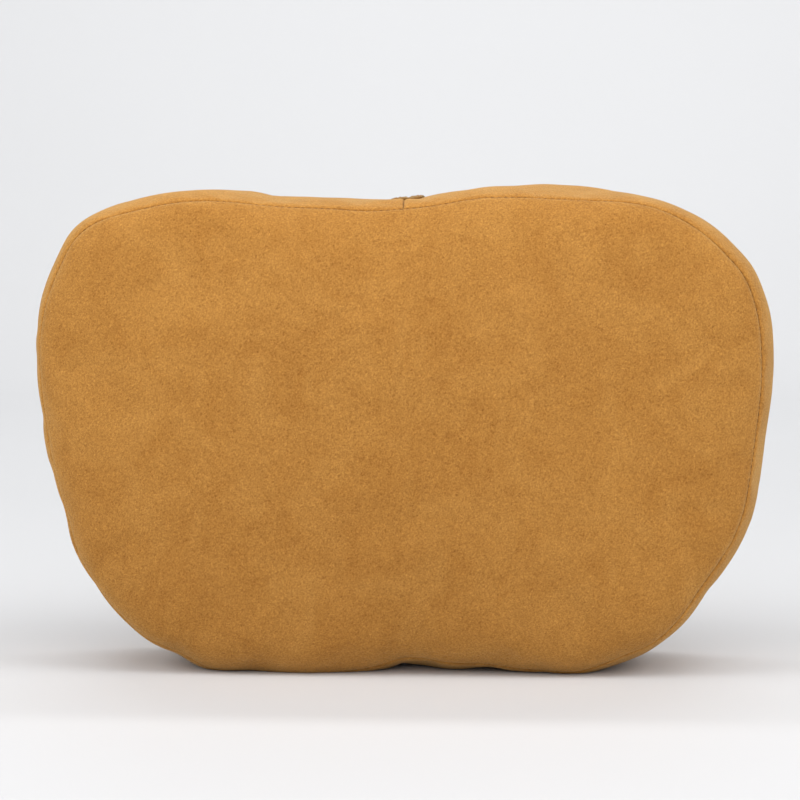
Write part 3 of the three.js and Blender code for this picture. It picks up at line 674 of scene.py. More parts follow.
def on_floor(points):
    """Points with the lowest ones sagging, and those below the floor pressed up to it."""
    under = np.clip(1 - (points[:, 1] / SETTLE["reach"]) ** 2, 0, 1)
    sag = SETTLE["edges"] + (SETTLE["middle"] - SETTLE["edges"]) * under
    points[:, 2] -= sag * np.exp(-((np.maximum(points[:, 2], 0) / SETTLE["height"]) ** 2))
    z = points[:, 2]
    points[:, 2] = (z + np.sqrt(z**2 + SETTLE["soft"] ** 2)) / 2
    return points


def rows_of(panel, along):
    """A panel's rows from its first edge to its last: how far along the section each one is, its
    distance from a seam and its depth under the surface."""
    start, end = panel_edges(panel, along)
    first = [] if panel == "front" else [(start + d, d, deep) for d, deep in ROLL]
    last = [] if panel == "back" else [(end - d, d, deep) for d, deep in reversed(ROLL)]
    low = start if panel == "front" else start + ROLLED + PLAIN_GAP
    high = end if panel == "back" else end - ROLLED - PLAIN_GAP
    shares = np.linspace(0, 1, SIDE_ROWS if panel == "side" else FACE_ROWS)
    return [*first, *[(low + (high - low) * s, ROLLED, 0.0) for s in shares], *last]


def panel_rows(panel, along, seed, end_depth=None):
    """The points of a panel's rows, with rolled seams, and the direction out of the cover at each."""
    rows = rows_of(panel, along)
    start, end = panel_edges(panel, along)
    number = PANELS.index(panel)
    rings = []
    for across, _, _ in rows:
        places = number + (across - start) / (end - start)
        rings.append(surface(along, across) + moves_at(places, along))
    faces = strip_faces(len(rows), len(along), end_depth is None)
    out = normals_of(np.concatenate(rings), faces).reshape(len(rows), len(along), 3)
    shape = puckers(along, seed)
    for r, (across, distance, depth) in enumerate(rows):
        lift = np.full(len(along), -depth)
        if distance < ROLLED:
            lift += shape * min(1.0, distance / 1.2) * (1.3 if distance < 2 else 0.8)
        if panel == "side":
            share = float(np.mean((across - start) / (end - start)))
            lift += side_lumps(rings[r], share) - end_depth
        rings[r] = on_floor(rings[r] + out[r] * lift[:, None])
    return np.array(rings), out


def face_panel(panel):
    """The front or the back panel's outer side, as points and faces."""
    along = np.arange(AROUND) / AROUND * PERIMETER
    rings, _ = panel_rows(panel, along, 1.0 + PANELS.index(panel))
    edge = 0 if panel == "front" else len(rings) - 1
    points = rings.reshape(-1, 3)
    faces = strip_faces(len(rings), AROUND, True)
    plain = domed(core(flat_surface(along, np.full(AROUND, ACROSS[-1] if edge else 0.0))))
    grid = plain + doubled(CORE_MOVES[1 if edge else 0]) * FOAM_HOLDS
    made, inside = core_mesh(AROUND, edge * AROUND + np.arange(AROUND), len(points))
    points = np.concatenate([points, grid[inside]])
    return points, [*faces, *[tuple(reversed(f)) for f in made]] if edge else [*faces, *made]


def gusset_panel():
    """The side strip's outer side. Its two ends meet in a seam at the top, in the middle."""
    ends = np.array([d for d, _ in ROLL])
    depth = np.array([deep for _, deep in ROLL])
    inner = ends[-1] + 1.5  # a step on from the butt seam's own roll
    between = np.linspace(inner, PERIMETER - inner, AROUND - 6)
    along = np.concatenate([ends, between, PERIMETER - ends[::-1]]) + PERIMETER / 2 - TAB["x"]
    end_depth = np.concatenate([depth, np.zeros(len(between)), depth[::-1]])
    rings, _ = panel_rows("side", along, 3.0, end_depth)
    return opened(rings.reshape(-1, 3), strip_faces(len(rings), len(along), False))


# The hole for the pod: room round it, where its edge lies and how far the cloth is drawn in to it;
# then how far in or out a corner is when it is cut off, may be moved to the edge, or takes its face away.
OPENING = {"room": 0.4, "x": -161.35, "reach": 4.2, "in": -0.9, "near": 0.9, "deep": -2.2}


def beyond_pod(points, grow=0.0):
    """How far outside the control pod's outline points are, and the nearest place on the outline."""
    half = np.array(POD["half"], float) + grow
    r = half.min()
    at = points[:, 1:] - (POD["y"], POD["z"])
    spine = np.stack([0 * at[:, 0], np.clip(at[:, 1], r - half[1], half[1] - r)], axis=1)
    away = at - spine
    gone = np.maximum(np.linalg.norm(away, axis=1), 1e-6)
    return gone - r, spine + away * (r / gone)[:, None] + (POD["y"], POD["z"])


def opened(points, faces):
    """The gusset with a hole for the control pod: the cloth is drawn in under the bezel's flange."""
    left = points[:, 0] < -120
    beyond, edge = beyond_pod(points, OPENING["room"])
    near = np.where(left, np.exp(-((np.maximum(beyond, 0) / OPENING["reach"]) ** 1.5)), 0)
    points[:, 0] += near * (OPENING["x"] - points[:, 0])
    inside = left & (beyond < OPENING["in"])
    kept = [f for f in faces if not all(inside[i] for i in f)]
    cut = [f for f in kept if any(inside[i] for i in f)]
    snapped = sorted({i for f in cut for i in f if left[i] and beyond[i] < OPENING["near"]})
    kept = [f for f in kept if not any(inside[i] and beyond[i] < OPENING["deep"] for i in f)]
    on_edge = np.zeros(len(points), bool)
    on_edge[snapped] = True
    on_edge |= inside
    points[on_edge, 1:] = edge[on_edge]
    used = sorted({i for f in kept for i in f})
    number = {old: new for new, old in enumerate(used)}
    return points[used], [tuple(number[i] for i in f) for f in kept]


def stitch_line(line, out, pitch=2.9, length=2.1, radius=0.24, sink=0.22):
    """Threads along a line of points, each an arch that dips in to the cloth at both ends."""
    gone = np.concatenate([[0], np.cumsum(np.linalg.norm(np.diff(line, axis=0), axis=1))])
    count = max(1, int(gone[-1] // pitch))
    middles = (np.arange(count) + 0.5) * gone[-1] / count
    steps, sides = 7, 6
    shares = np.linspace(-0.5, 0.5, steps)
    points, faces = [], []
    for middle in middles:
        at = np.clip(middle + shares * length, 0, gone[-1])
        run = np.stack([np.interp(at, gone, line[:, k]) for k in range(3)], axis=1)
        up = np.stack([np.interp(at, gone, out[:, k]) for k in range(3)], axis=1)
        up /= np.linalg.norm(up, axis=1)[:, None]
        tangent = run[-1] - run[0]
        tangent /= np.linalg.norm(tangent)
        across = np.cross(tangent, up)
        arch = (1 - (2 * shares) ** 2) * 0.5 - 0.5
        first = len(points)
        for k in range(steps):
            thick = radius * math.sqrt(max(0.03, 1 - (2 * abs(shares[k])) ** 4))
            hub = run[k] + up[k] * (arch[k] * radius * 2.4 - sink + radius)
            for j in range(sides):
                turn = 2 * math.pi * j / sides
                points.append(hub + thick * (math.cos(turn) * across[k] + math.sin(turn) * up[k]))
        for k in range(steps - 1):
            for j in range(sides):
                a, b = first + k * sides + j, first + k * sides + (j + 1) % sides
                faces.append((a, a + sides, b + sides, b))
        faces.append(tuple(first + j for j in range(sides)))
        faces.append(tuple(first + (steps - 1) * sides + j for j in reversed(range(sides))))
    return np.array(points), faces


def joined(*parts):
    """Several (points, faces) as one."""
    points, faces = [], []
    for some_points, some_faces in parts:
        first = sum(len(p) for p in points)
        points.append(np.asarray(some_points, float))
        faces += [tuple(i + first for i in f) for f in some_faces]
    return np.concatenate(points), faces


SEAM_DEPTH = 0.85  # how deep in its groove the seam's thread lies


def seam_run(which):
    """A sewn seam's line round the cushion, and the direction out of it."""
    along = np.linspace(0, PERIMETER, AROUND + 1)
    place = seam_place(which, along)
    line = surface(along, place)
    before, after = surface(along, place - 1), surface(along, place + 1)
    around = surface(along + 1, place) - surface(along - 1, place)
    out = np.cross(after - before, around)
    out /= np.linalg.norm(out, axis=1)[:, None]
    return on_floor(line - out * SEAM_DEPTH), out


def add_seam_threads():
    tan = thread_look("seam_thread", (0.22, 0.088, 0.020))
    for which in ("front", "back"):
        piece(f"{which}_seam_thread", *stitch_line(*seam_run(which), sink=0), tan, "suede")


FRONT = face_panel("front")


def pattern(which):
    """The outline that a face panel is cut to, in x and z: the section is laid flat out to the seam."""
    along = np.arange(AROUND) / AROUND * PERIMETER
    place = seam_place(which, along)
    run = place if which == "front" else ACROSS[-1] - place
    return shrunk(along, FLAT_INSET - run)


def cut_size(outline, side=0, level=0.0):
    """A pattern's height and width, and its area, in full or above (1) or below (-1) a level."""
    kept = outline[side * (outline[:, 1] - level) >= 0]
    x, z = outline[:, 0], outline[:, 1]
    if side:
        z = side * np.maximum(side * (z - level), 0)
    area = 0.5 * abs(np.sum(x * np.roll(z, -1) - z * np.roll(x, -1)))
    height = np.ptp(z)
    return (height, np.ptp(kept[:, 0])), area


def add_front_cover():
    points, faces = thicken(*FRONT, FABRIC)
    made = piece("front_cover_panel", points, faces, suede("suede_front", (0, 0, 0)), "suede")
    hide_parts("front_cover")
    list(cut_size(pattern("front")))


GUSSET = gusset_panel()


def add_gusset():
    points, faces = thicken(*GUSSET, FABRIC)
    # the side strip's suede is painted 6% lighter than the face's: painted light, for the light it catches
    # from above and at its edges
    made = piece("gusset_panel", points, faces, suede("suede_side_painted_light", (40, 11, 7), 1.06), "suede")
    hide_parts("side_gusset")
    along = np.arange(AROUND) / AROUND * PERIMETER
    widths = seam_place("back", along) - seam_place("front", along)
    high, wide = np.array(POD["half"], float)[::-1] * 2


# The cloth's edge turns in beside the zip, as (distance from the middle, depth below the surface).
ZIP_ROLL = [(0, 1.5), (0.3, 0.78), (0.9, 0.22), (2.2, 0), (4, -0.05), (8, 0), (16, 0)]
ZIP_FLAT = {"proud": -0.05, "reach": 7, "rise": 0.15}  # how flat the back is held beside the zip
ZIP_CLOSES = {"past": 0.4, "over": 5, "fades": 18}  # where the two halves come together past its end


def eased(t):
    """0 to 1, starting and ending gently."""
    t = np.clip(t, 0, 1)
    return t * t * (3 - 2 * t)


def zipped_half(points, faces, side):
    """The back panel above the zip (side 1) or below it (side -1), with its edge turned in."""
    panel = bmesh.new()
    corners = [panel.verts.new(p) for p in points]
    for face in faces:
        panel.faces.new([corners[i] for i in face])
    for distance, _ in ZIP_ROLL[:-1]:
        everything = [*panel.verts, *panel.edges, *panel.faces]
        cut = {"plane_co": (0, 0, ZIP["z"] + side * distance), "plane_no": (0, 0, side)}
        bmesh.ops.bisect_plane(panel, geom=everything, dist=1e-4, clear_inner=distance == 0, **cut)
    loose = [v for v in panel.verts if not v.link_faces]
    bmesh.ops.delete(panel, geom=loose, context="VERTS")
    panel.verts.index_update()
    points = np.array([v.co for v in panel.verts])
    faces = [tuple(v.index for v in f.verts) for f in panel.faces]
    panel.free()
    distance = np.abs(points[:, 2] - ZIP["z"])
    flat = BACK_Y + ZIP_FLAT["proud"] + ZIP_FLAT["rise"] * np.maximum(distance - ZIP_FLAT["reach"], 0)
    points[:, 1] = np.minimum(points[:, 1], flat)
    past_end = (np.abs(points[:, 0]) - ZIP["end"] - ZIP_CLOSES["past"]) / ZIP_CLOSES["over"]
    open_by = ZIP["slot"] - (ZIP["slot"] - GAP / 2) * eased(past_end)
    points[:, 2] += side * open_by * (1 - eased(distance / ZIP_CLOSES["fades"]))
    points[:, 1] -= np.interp(distance, *np.array(ZIP_ROLL).T)
    return points, faces


BACK = face_panel("back")
BACK_TREE = tree_of(*BACK)
RAY_START = {"behind": 200, "above": 300}  # where rays that look for the cover's surface begin


def back_depth(x, z):
    """How deep the back panel lies at a place on it."""
    hit = BACK_TREE.ray_cast(Vector((x, RAY_START["behind"], z)), Vector((0, -1, 0)))[0]
    return hit.y if hit else 0.0


def run_on_back(places):
    """Points over the back panel, with the direction out of it, for a stitch line."""
    line = np.array([(x, back_depth(x, z), z) for x, z in places])
    return line, np.tile([0.0, 1.0, 0.0], (len(line), 1))


def straight(start, end, step=3.0):
    """Places on a straight line, at most a step apart."""
    count = max(2, int(np.hypot(*np.subtract(end, start)) / step) + 1)
    return [tuple(p) for p in np.linspace(start, end, count)]


def add_back_cover():
    for name, side, shift in (("rear_cover_upper", 1, (17, 3, 90)), ("rear_cover_lower", -1, (61, 9, 33))):
        half = zipped_half(*BACK, side)
        points, faces = thicken(*half, FABRIC)
        made = piece(f"{name}_panel", points, faces, suede(f"suede_{name}", shift), "suede")
        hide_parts(name)
        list(cut_size(pattern("back"), side, ZIP["z"] + side * ZIP["slot"]))


def add_zip_stitching():
    """A line of stitches along each edge of the zip, and two bars across its ends."""
    reach, away = ZIP["end"] + 1, ZIP["slot"] + 3
    tan = thread_look("zip_thread", (0.34, 0.15, 0.035))
    parts = []
    for side in (1, -1):
        z = ZIP["z"] + side * away
        parts.append(stitch_line(*run_on_back(straight((-reach, z), (reach, z)))))
        x = side * (reach + 1.5)
        places = straight((x, ZIP["z"] - away), (x, ZIP["z"] + away), 1.0)
        parts.append(stitch_line(*run_on_back(places), pitch=1.9, length=1.6))
    piece("zip_stitching", *joined(*parts), tan, "suede")


# ---------------------------------------------------------------- the zip
def metal(name, colour, roughness, wear=0.12):
    """Metal with a fine brushed grain, dulled unevenly by handling."""
    look = Look(name, roughness, Metallic=1.0)
    brushed = look.noise(0.6, 2.0, 0.5, 0.2, stretch=(9, 1, 1))
    dull = look.noise(6, 3.0, 0.6, 0.6)
    dark = tuple(c * 0.72 for c in colour)
    look.colours(dull, 0.35, 0.7, colour, dark)
    spread = look.ranged(dull, 0.3, 0.7, roughness - wear, roughness + wear)
    look.use("Roughness", look.math("ADD", spread, look.ranged(brushed, 0.3, 0.7, -0.05, 0.05)))
    look.bump((dull, 0.02), (brushed, 0.015))
    return look.material


def woven(name, colour, light, rib, turn=0.0):
    """Narrow woven cloth: a rib every so many millimetres, with threads across it."""
    look = Look(name, 0.85, Sheen_Weight=0.35, Sheen_Roughness=0.5)
    place = look.mapped(turn=(0, turn, 0))
    ribs = []
    for direction, size in (("X", rib), ("Z", rib * 0.62)):
        inputs = {"Vector": place, "Scale": RIB_SCALE / size, "Distortion": 0.6, "Detail": 1.0}
        made = look.node("ShaderNodeTexWave", inputs, wave_type="BANDS", bands_direction=direction)
        ribs.append(made.outputs["Fac"])
    weave = look.math("MULTIPLY", *ribs)
    fuzz = look.noise(0.8, 2.0, 0.6)
    worn = look.noise(18, 3.0, 0.6, 0.5)
    tone = look.math("ADD", look.math("MULTIPLY", weave, 0.7), look.ranged(fuzz, 0.3, 0.7, -0.2, 0.2))
    tone = look.math("ADD", tone, look.ranged(worn, 0.3, 0.7, -0.12, 0.12))
    look.colours(tone, 0, 0.75, colour, light)
    look.rough(worn, 0.78, 0.95)
    look.bump((weave, 0.35), (fuzz, 0.12))
    return look.material


def caps(rows, count):
    """Faces that close both ends of rows of points, each row running round."""
    last = (rows - 1) * count
    return [tuple(range(count)), tuple(last + j for j in reversed(range(count)))]


def closing(rows, count, links):
    """Faces that join the last row of points back to the first."""
    last = (rows - 1) * count
    return [(last + j, j, (j + 1) % count, last + (j + 1) % count) for j in range(links)]


def level_loop(loop, y):
    """A loop of (x, z) places as points at one depth."""
    return np.stack([loop[:, 0], np.full(len(loop), y), loop[:, 1]], axis=1)


def extruded(outline, y0, y1, bevel, steps=3):
    """A plate from an outline of (x, z), with round edges: points and faces."""
    outline = np.asarray(outline, float)
    after, before = np.roll(outline, -1, axis=0), np.roll(outline, 1, axis=0)
    if np.sum(outline[:, 0] * after[:, 1] - outline[:, 1] * after[:, 0]) < 0:
        return extruded(outline[::-1], y0, y1, bevel, steps)
    tangent = after - before
    normal = np.stack([tangent[:, 1], -tangent[:, 0]], axis=1)
    normal /= np.maximum(np.linalg.norm(normal, axis=1), 1e-9)[:, None]
    turns = [math.pi / 2 * i / steps for i in range(steps + 1)]
    low = [(bevel * (1 - math.sin(t)), y0 + bevel * (1 - math.cos(t))) for t in turns]
    high = [(inset, y0 + y1 - y) for inset, y in reversed(low)]
    rings = [level_loop(outline - normal * inset, y) for inset, y in [*low, *high]]
    size = len(rings), len(outline)
    return np.concatenate(rings), [*strip_faces(*size, True), *caps(*size)]


def stadium(middle, half, count=64, corner=None):
    """A rectangle with round corners, or with round ends, going from +x towards +z."""
    r = corner or min(half)
    along = np.linspace(0, 2 * math.pi, count, endpoint=False)
    turns = np.cos(along), np.sin(along)
    at = [r * t + (h - r) * np.sign(t.round(9)) for t, h in zip(turns, half)]
    return np.stack(at, axis=1) + middle


def tooth(side):
    """One zip tooth with a round head that reaches past the middle."""
    turns = np.linspace(math.pi * 0.72, -math.pi * 0.72, 9)
    head = [(0.66 * math.sin(t), 0.62 * math.cos(t)) for t in turns]
    outline = [(-0.42, 2.5), (0.42, 2.5), *[(x, -z) for x, z in head]]
    outline = [(x, side * z) for x, z in outline]
    return outline if side < 0 else outline[::-1]


# How far apart the teeth are, how deep they and the stops lie, and where the stops and the tapes end.
TEETH = {"pitch": 2.6, "foot": 45.1, "top": 46.75, "room": 8, "stop": 116.4, "tape_end": 119.5}
TAPE_SECTION = [(0.25, 0.0), (0.9, 0.25), (1.5, 0.3), (2.4, 0.05), (4, 0), (6, 0), (ZIP["tape"], 0)]
TAPE_THICK = 0.45


def zip_tape(side):
    """The tape above the teeth (side 1) or below them (side -1), with a cord along its inner edge."""
    x = np.linspace(-TEETH["tape_end"], TEETH["tape_end"], 160)
    rows = []
    for away, lift in TAPE_SECTION:
        z = ZIP["z"] + side * away
        level = [min(TEETH["foot"] + lift, back_depth(u, z) - FABRIC - 0.35) for u in x]
        rows.append(np.stack([x, level, np.full(len(x), z)], axis=1))
    faces = strip_faces(len(rows), len(x), False)
    if side < 0:
        faces = [tuple(reversed(f)) for f in faces]
    return thicken(np.concatenate(rows), faces, TAPE_THICK)


def add_zip():
    """Two rows of interlocked teeth on woven tapes, with a stop at each end."""
    pitch, foot, top, middle = TEETH["pitch"], TEETH["foot"], TEETH["top"], ZIP["z"]
    count = int((2 * ZIP["end"] - TEETH["room"]) / pitch)
    parts = []
    for side in (1, -1):
        outline = np.array(tooth(side))
        for i in range(count):
            x = (i - count / 2 + (0.5 if side > 0 else 0)) * pitch + pitch / 2
            parts.append(extruded(outline + (x, middle + side * 0.05), foot, top, 0.22, 2))
    brass = metal("zip_brass", (0.55, 0.36, 0.12), 0.34)
    teeth = piece("zip_teeth", *joined(*parts), brass, "zip_metal", sharp=50)
    ends = (-TEETH["stop"], TEETH["stop"])
    stops = [extruded(stadium((x, middle), (1.4, 2.6), 24), foot, top + 0.15, 0.3) for x in ends]
    piece("zip_stops", *joined(*stops), brass, "zip_metal", sharp=50)
    weave = woven("zip_tape_weave", (0.10, 0.045, 0.016), (0.24, 0.115, 0.04), 0.9, 45)
    tape = piece("zip_tape", *joined(zip_tape(1), zip_tape(-1)), weave, "webbing")
    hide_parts("zip_chain")


def swept(line, half_width, half_thick, count=16):
    """A bar with a rounded rectangular section along a line, as wide as it is upright."""
    line, wide = np.asarray(line, float), np.array([0.0, 0.0, 1.0])
    tangent = np.gradient(line, axis=0)
    tangent /= np.linalg.norm(tangent, axis=1)[:, None]
    thick = np.cross(tangent, wide)
    turn = np.linspace(0, 2 * math.pi, count, endpoint=False)
    squared = [np.sign(part) * np.abs(part) ** 0.45 for part in (np.cos(turn), np.sin(turn))]
    points = [
        at + wide * half_width * a + side * half_thick * b
        for at, side in zip(line, thick)
        for a, b in zip(*squared)
    ]
    faces = [*strip_faces(len(line), count, True), *caps(len(line), count)]
    return np.array(points), [tuple(reversed(f)) for f in faces]


def slider_outline():
    """The slider's plate from above: an oval with full corners, narrower at its nose."""
    outline = []
    for t in np.linspace(0, 2 * math.pi, 48, endpoint=False):
        corner = abs(math.sin(2 * t))
        x = 5.5 * math.cos(t) * (1 + 0.1 * corner)
        z = 4.2 * math.sin(t) * (1 - 0.16 * math.cos(t)) * (1 + 0.12 * corner)
        outline.append((SLIDER_X + x, ZIP["z"] + z))
    return outline


def add_slider():
    """The slider's plate with its side rails and the bridge that holds the pull."""
    plate = extruded(slider_outline(), 47.25, 48.55, 0.4)
    rails = []
    for side in (1, -1):
        rail = stadium((SLIDER_X, ZIP["z"] + side * 2.85), (4.2, 0.25), 24)
        rails.append(extruded(rail, 46.3, 47.6, 0.12, 2))
    arch = []
    for t in np.linspace(0, math.pi, 25):
        x = 3.0 * math.copysign(abs(math.cos(t)) ** 0.6, math.cos(t))
        arch.append((SLIDER_X + x, 48.3 + 3.6 * math.sin(t) ** 0.75, ZIP["z"]))
    steel = metal("slider_metal", (0.50, 0.34, 0.13), 0.3)
    points, faces = joined(plate, *rails, swept(arch, 1.15, 0.5))
    slider = piece("zip_slider_body", points, faces, steel, "zip_metal", body="zip_car", sharp=45)
    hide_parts("zip_slider")


# The pull's window for the slider's bridge and the rim of its grip: middle from the slider, half sizes.
PULL_WINDOW = {"x": PULL["start"] + 4.05, "half": (2.05, 1.7)}
PULL_GRIP = {"x": PULL["start"] + 18.2, "half": (7.2, 1.9)}
PULL_ROUND = 0.25


def add_pull():
    """A tongue with a window for the slider's bridge, and a raised rim round its grip."""
    count = 64
    outer = stadium((0, 0), (PULL["length"] / 2, PULL["half_width"]), count)
    waist = 1 - 0.2 * np.exp(-(((outer[:, 0] + 4.5) / 3.2) ** 2))
    outer[:, 1] *= waist
    outer += (SLIDER_X + PULL["start"] + PULL["length"] / 2, ZIP["z"])
    inner = stadium((SLIDER_X + PULL_WINDOW["x"], ZIP["z"]), PULL_WINDOW["half"], count)
    y0, y1, bevel = PULL["y"], PULL["y"] + PULL["thick"], PULL_ROUND
    rings = []
    for loop, sign in ((outer, -1), (inner, 1)):
        centre = loop.mean(0)
        grown = 1 + sign * bevel / np.linalg.norm(loop - centre, axis=1)
        grown = centre + (loop - centre) * grown[:, None]
        climb = [(grown, y0), (loop, y0 + bevel), (loop, y1 - bevel), (grown, y1)]
        rings += [level_loop(at, y) for at, y in climb[::-sign]]
    faces = [*strip_faces(len(rings), count, True), *closing(len(rings), count, count)]
    grip = stadium((SLIDER_X + PULL_GRIP["x"], ZIP["z"]), PULL_GRIP["half"], 48)
    rim = bead(level_loop(grip, y1 + 0.02), 0.28, closed=True)
    steel = metal("pull_metal", (0.52, 0.36, 0.14), 0.28)
    points, faces = joined((np.concatenate(rings), faces), rim)
    pull = piece("zip_pull_tongue", points, faces, steel, "zip_metal", body="zip_tag", sharp=50)
    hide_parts("zip_pull")


def bead(line, radius, sides=8, closed=False):
    """A round bead along a line of points that keeps nearly one depth."""
    loop = np.asarray(line, float)
    ahead = np.roll(loop, -1, axis=0) - np.roll(loop, 1, axis=0)
    tangent = ahead if closed else np.gradient(loop, axis=0)
    tangent /= np.linalg.norm(tangent, axis=1)[:, None]
    up = np.array([0.0, 1.0, 0.0])
    side = np.cross(tangent, up)
    count = len(loop)
    points = []
    for j in range(sides):
        turn = 2 * math.pi * j / sides
        points.append(loop + radius * (math.cos(turn) * side + math.sin(turn) * up))
    links = count if closed else count - 1
    faces = [*strip_faces(sides, count, closed), *closing(sides, count, links)]
    if not closed:
        faces.append(tuple(j * count for j in range(sides)))
        faces.append(tuple(j * count + count - 1 for j in reversed(range(sides))))
    return np.concatenate(points), faces


# ---------------------------------------------------------------- strap and tab
def strap_band():
    """The strap's outer side: it lies on the back, is double at its folded ends, and has ribs."""
    length, rows, columns = STRAP["half_length"], 620, 27
    x = np.linspace(-length, length, rows)
    across = np.linspace(-1, 1, columns)
    every_x, every_across = x[::10], across[::2]
    base = []
    for a in every_across:
        z = STRAP["z"] + a * STRAP["half_width"]
        base.append(np.interp(x, every_x, [back_depth(u, z) for u in every_x]))
    base = np.array([np.interp(across, every_across, column) for column in np.array(base).T]).T
    top = 1.9 + 1.3 * eased((np.abs(x) - (length - STRAP["fold"])) / 1.6)
    ends = 1.1 * eased((np.abs(x) - (length - 1.4)) / 1.4)
    ripple = 0.11 * np.sin(2 * math.pi * x / 2.1)
    edge = 0.5 * eased((np.abs(across) - 0.93) / 0.07)
    height = base + (top - ends + ripple)[None, :] - edge[:, None]
    z = STRAP["z"] + across[:, None] * (STRAP["half_width"] + 0.25 * np.sin(x / 23.0)[None, :])
    grid = np.stack([np.tile(x, (columns, 1)), height, z], axis=2)
    return grid.reshape(-1, 3), strip_faces(columns, rows, False)


def add_strap():
    """A wide elastic strap across the back, its ends folded under and sewn down with a crossed box."""
    points, faces = thicken(*strap_band(), 1.5)
    weave = woven("strap_elastic", (0.018, 0.013, 0.010), (0.075, 0.055, 0.043), 2.1)
    strap = piece("rear_strap_band", points, faces, weave, "webbing")
    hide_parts("rear_strap")
    margin = {"end": 3.5, "side": 4}
    low = STRAP["z"] - STRAP["half_width"] + margin["side"]
    high = STRAP["z"] + STRAP["half_width"] - margin["side"]
    parts = []
    for side in (1, -1):
        outer = side * (STRAP["half_length"] - margin["end"])
        inner = side * (STRAP["half_length"] - STRAP["fold"] + margin["end"])
        corners = [(outer, low), (inner, low), (inner, high), (outer, high)]
        for start, end in ((0, 1), (1, 2), (2, 3), (3, 0), (0, 2), (1, 3)):
            line, out = run_on_back(straight(corners[start], corners[end]))
            parts.append(stitch_line(line + (0, 3.25, 0), out, radius=0.3))
    thread = thread_look("strap_thread", (0.36, 0.17, 0.045))
    piece("strap_stitching", *joined(*parts), thread, "webbing")


def height_on(tree, x, y):
    """How high a mesh's top is at a place, or None beside it."""
    hit = tree.ray_cast(Vector((x, y, RAY_START["above"])), Vector((0, 0, -1)))[0]
    return hit.z if hit else None


# How the tab lies on the gusset: its least height, its lift, thickness, slope to one side and bow, and
# how far in from its edges it is stitched.
TAB_LIES = {"lowest": 211.6, "above": 0.6, "thick": 0.6, "tilt": 0.05, "bow": 0.15, "stitched": 1.7}


def add_tab():
    """The small folded strip of suede over the gusset's own seam."""
    tree = tree_of(*GUSSET)
    x = np.linspace(-TAB["half_width"], TAB["half_width"], 22) + TAB["x"]
    y = np.linspace(TAB["front"], TAB["back"], 40)
    grid = np.zeros((len(y), len(x), 3))
    for i, depth in enumerate(y):
        for k, across in enumerate(x):
            side = min(across - x[0], x[-1] - across, depth - y[0], y[-1] - depth)
            roll = 0.5 * float(np.clip(1 - side / 0.8, 0, 1)) ** 2
            bow = TAB_LIES["bow"] * math.sin(math.pi * (depth - y[0]) / (y[-1] - y[0]))
            level = max(height_on(tree, across, depth) or 0, TAB_LIES["lowest"])
            tilt = TAB_LIES["tilt"] * (across - TAB["x"])
            grid[i, k] = (across, depth, level + TAB_LIES["above"] + bow + tilt - roll)
    upward = [tuple(reversed(f)) for f in strip_faces(len(y), len(x), False)]
    points, faces = thicken(grid.reshape(-1, 3), upward, TAB_LIES["thick"])
    # the tab's suede is painted at about half brightness: painted shade, for the shadow it lies in, seen
    # edge-on
    look = suede("suede_tab_painted_shade", (5, 71, 2), painted_light_and_shade=0.52)
    tab = piece("gusset_tab_fold", points, faces, look, "suede")
    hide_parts("gusset_seam_tab")
    inset = TAB_LIES["stitched"]
    left, right, near, far = x[0] + inset, x[-1] - inset, y[0] + inset, y[-1] - inset
    corners = [(left, near), (right, near), (right, far), (left, far)]
    tab_tree = tree_of(points, faces)
    parts = []
    for k in range(4):
        places = straight(corners[k], corners[(k + 1) % 4], 1.5)
        line = np.array([(*place, height_on(tab_tree, *place)) for place in places])
        up = np.tile([0.0, 0.0, 1.0], (len(line), 1))
        parts.append(stitch_line(line, up, pitch=2.4, length=1.8))
    thread = thread_look("tab_thread", (0.34, 0.15, 0.035))
    piece("tab_stitching", *joined(*parts), thread, "suede")


# ---------------------------------------------------------------- controls
def turned(profile, middle, count=64):
    """A turned body from (radius, depth) pairs, about an axis along y."""
    around = np.linspace(0, 2 * math.pi, count, endpoint=False)
    circle = np.stack([np.cos(around), np.sin(around)], axis=1)
    rings = [level_loop(r * circle, y) for r, y in profile]
    faces = [*strip_faces(len(rings), count, True), *caps(len(rings), count)]
    return np.concatenate(rings) + (middle[0], 0, middle[1]), faces


def to_left(part):
    """A part built facing +y, turned to face the left."""
    points, faces = part
    points = np.asarray(points, float)
    return np.stack([-points[:, 1], points[:, 0], points[:, 2]], axis=1), faces


def shaped_mesh(points, faces, change):
    """Points and faces of a mesh after modifiers, which a function adds to its object."""
    shape = object_of("shape", points, faces)
    change(shape)
    shown = shape.evaluated_get(bpy.context.evaluated_depsgraph_get()).data
    points = np.array([v.co for v in shown.vertices]) / MM
    faces = [tuple(p.vertices) for p in shown.polygons]
    bpy.data.objects.remove(shape)
    return points, faces


def carved(part, cutter):
    """A part with another part's space taken away."""
    tool = object_of("cutter", *cutter)

    def cut(shape):
        modifier = shape.modifiers.new("cut", "BOOLEAN")
        modifier.operation = "DIFFERENCE"
        modifier.solver = "EXACT"
        modifier.object = tool

    result = shaped_mesh(*part, cut)
    bpy.data.objects.remove(tool)
    return result


# The controls' depths are distances out from the object's middle: x without its minus sign.
BEZEL = {"back": 161.6, "face": 163.9, "flange": 1.9, "round": 0.7, "room": 0.25, "flare": 0.4}
CONTROLS = [POWER, HEAT, LED, {"z": JACK["z"], "r": JACK["nose"]}]


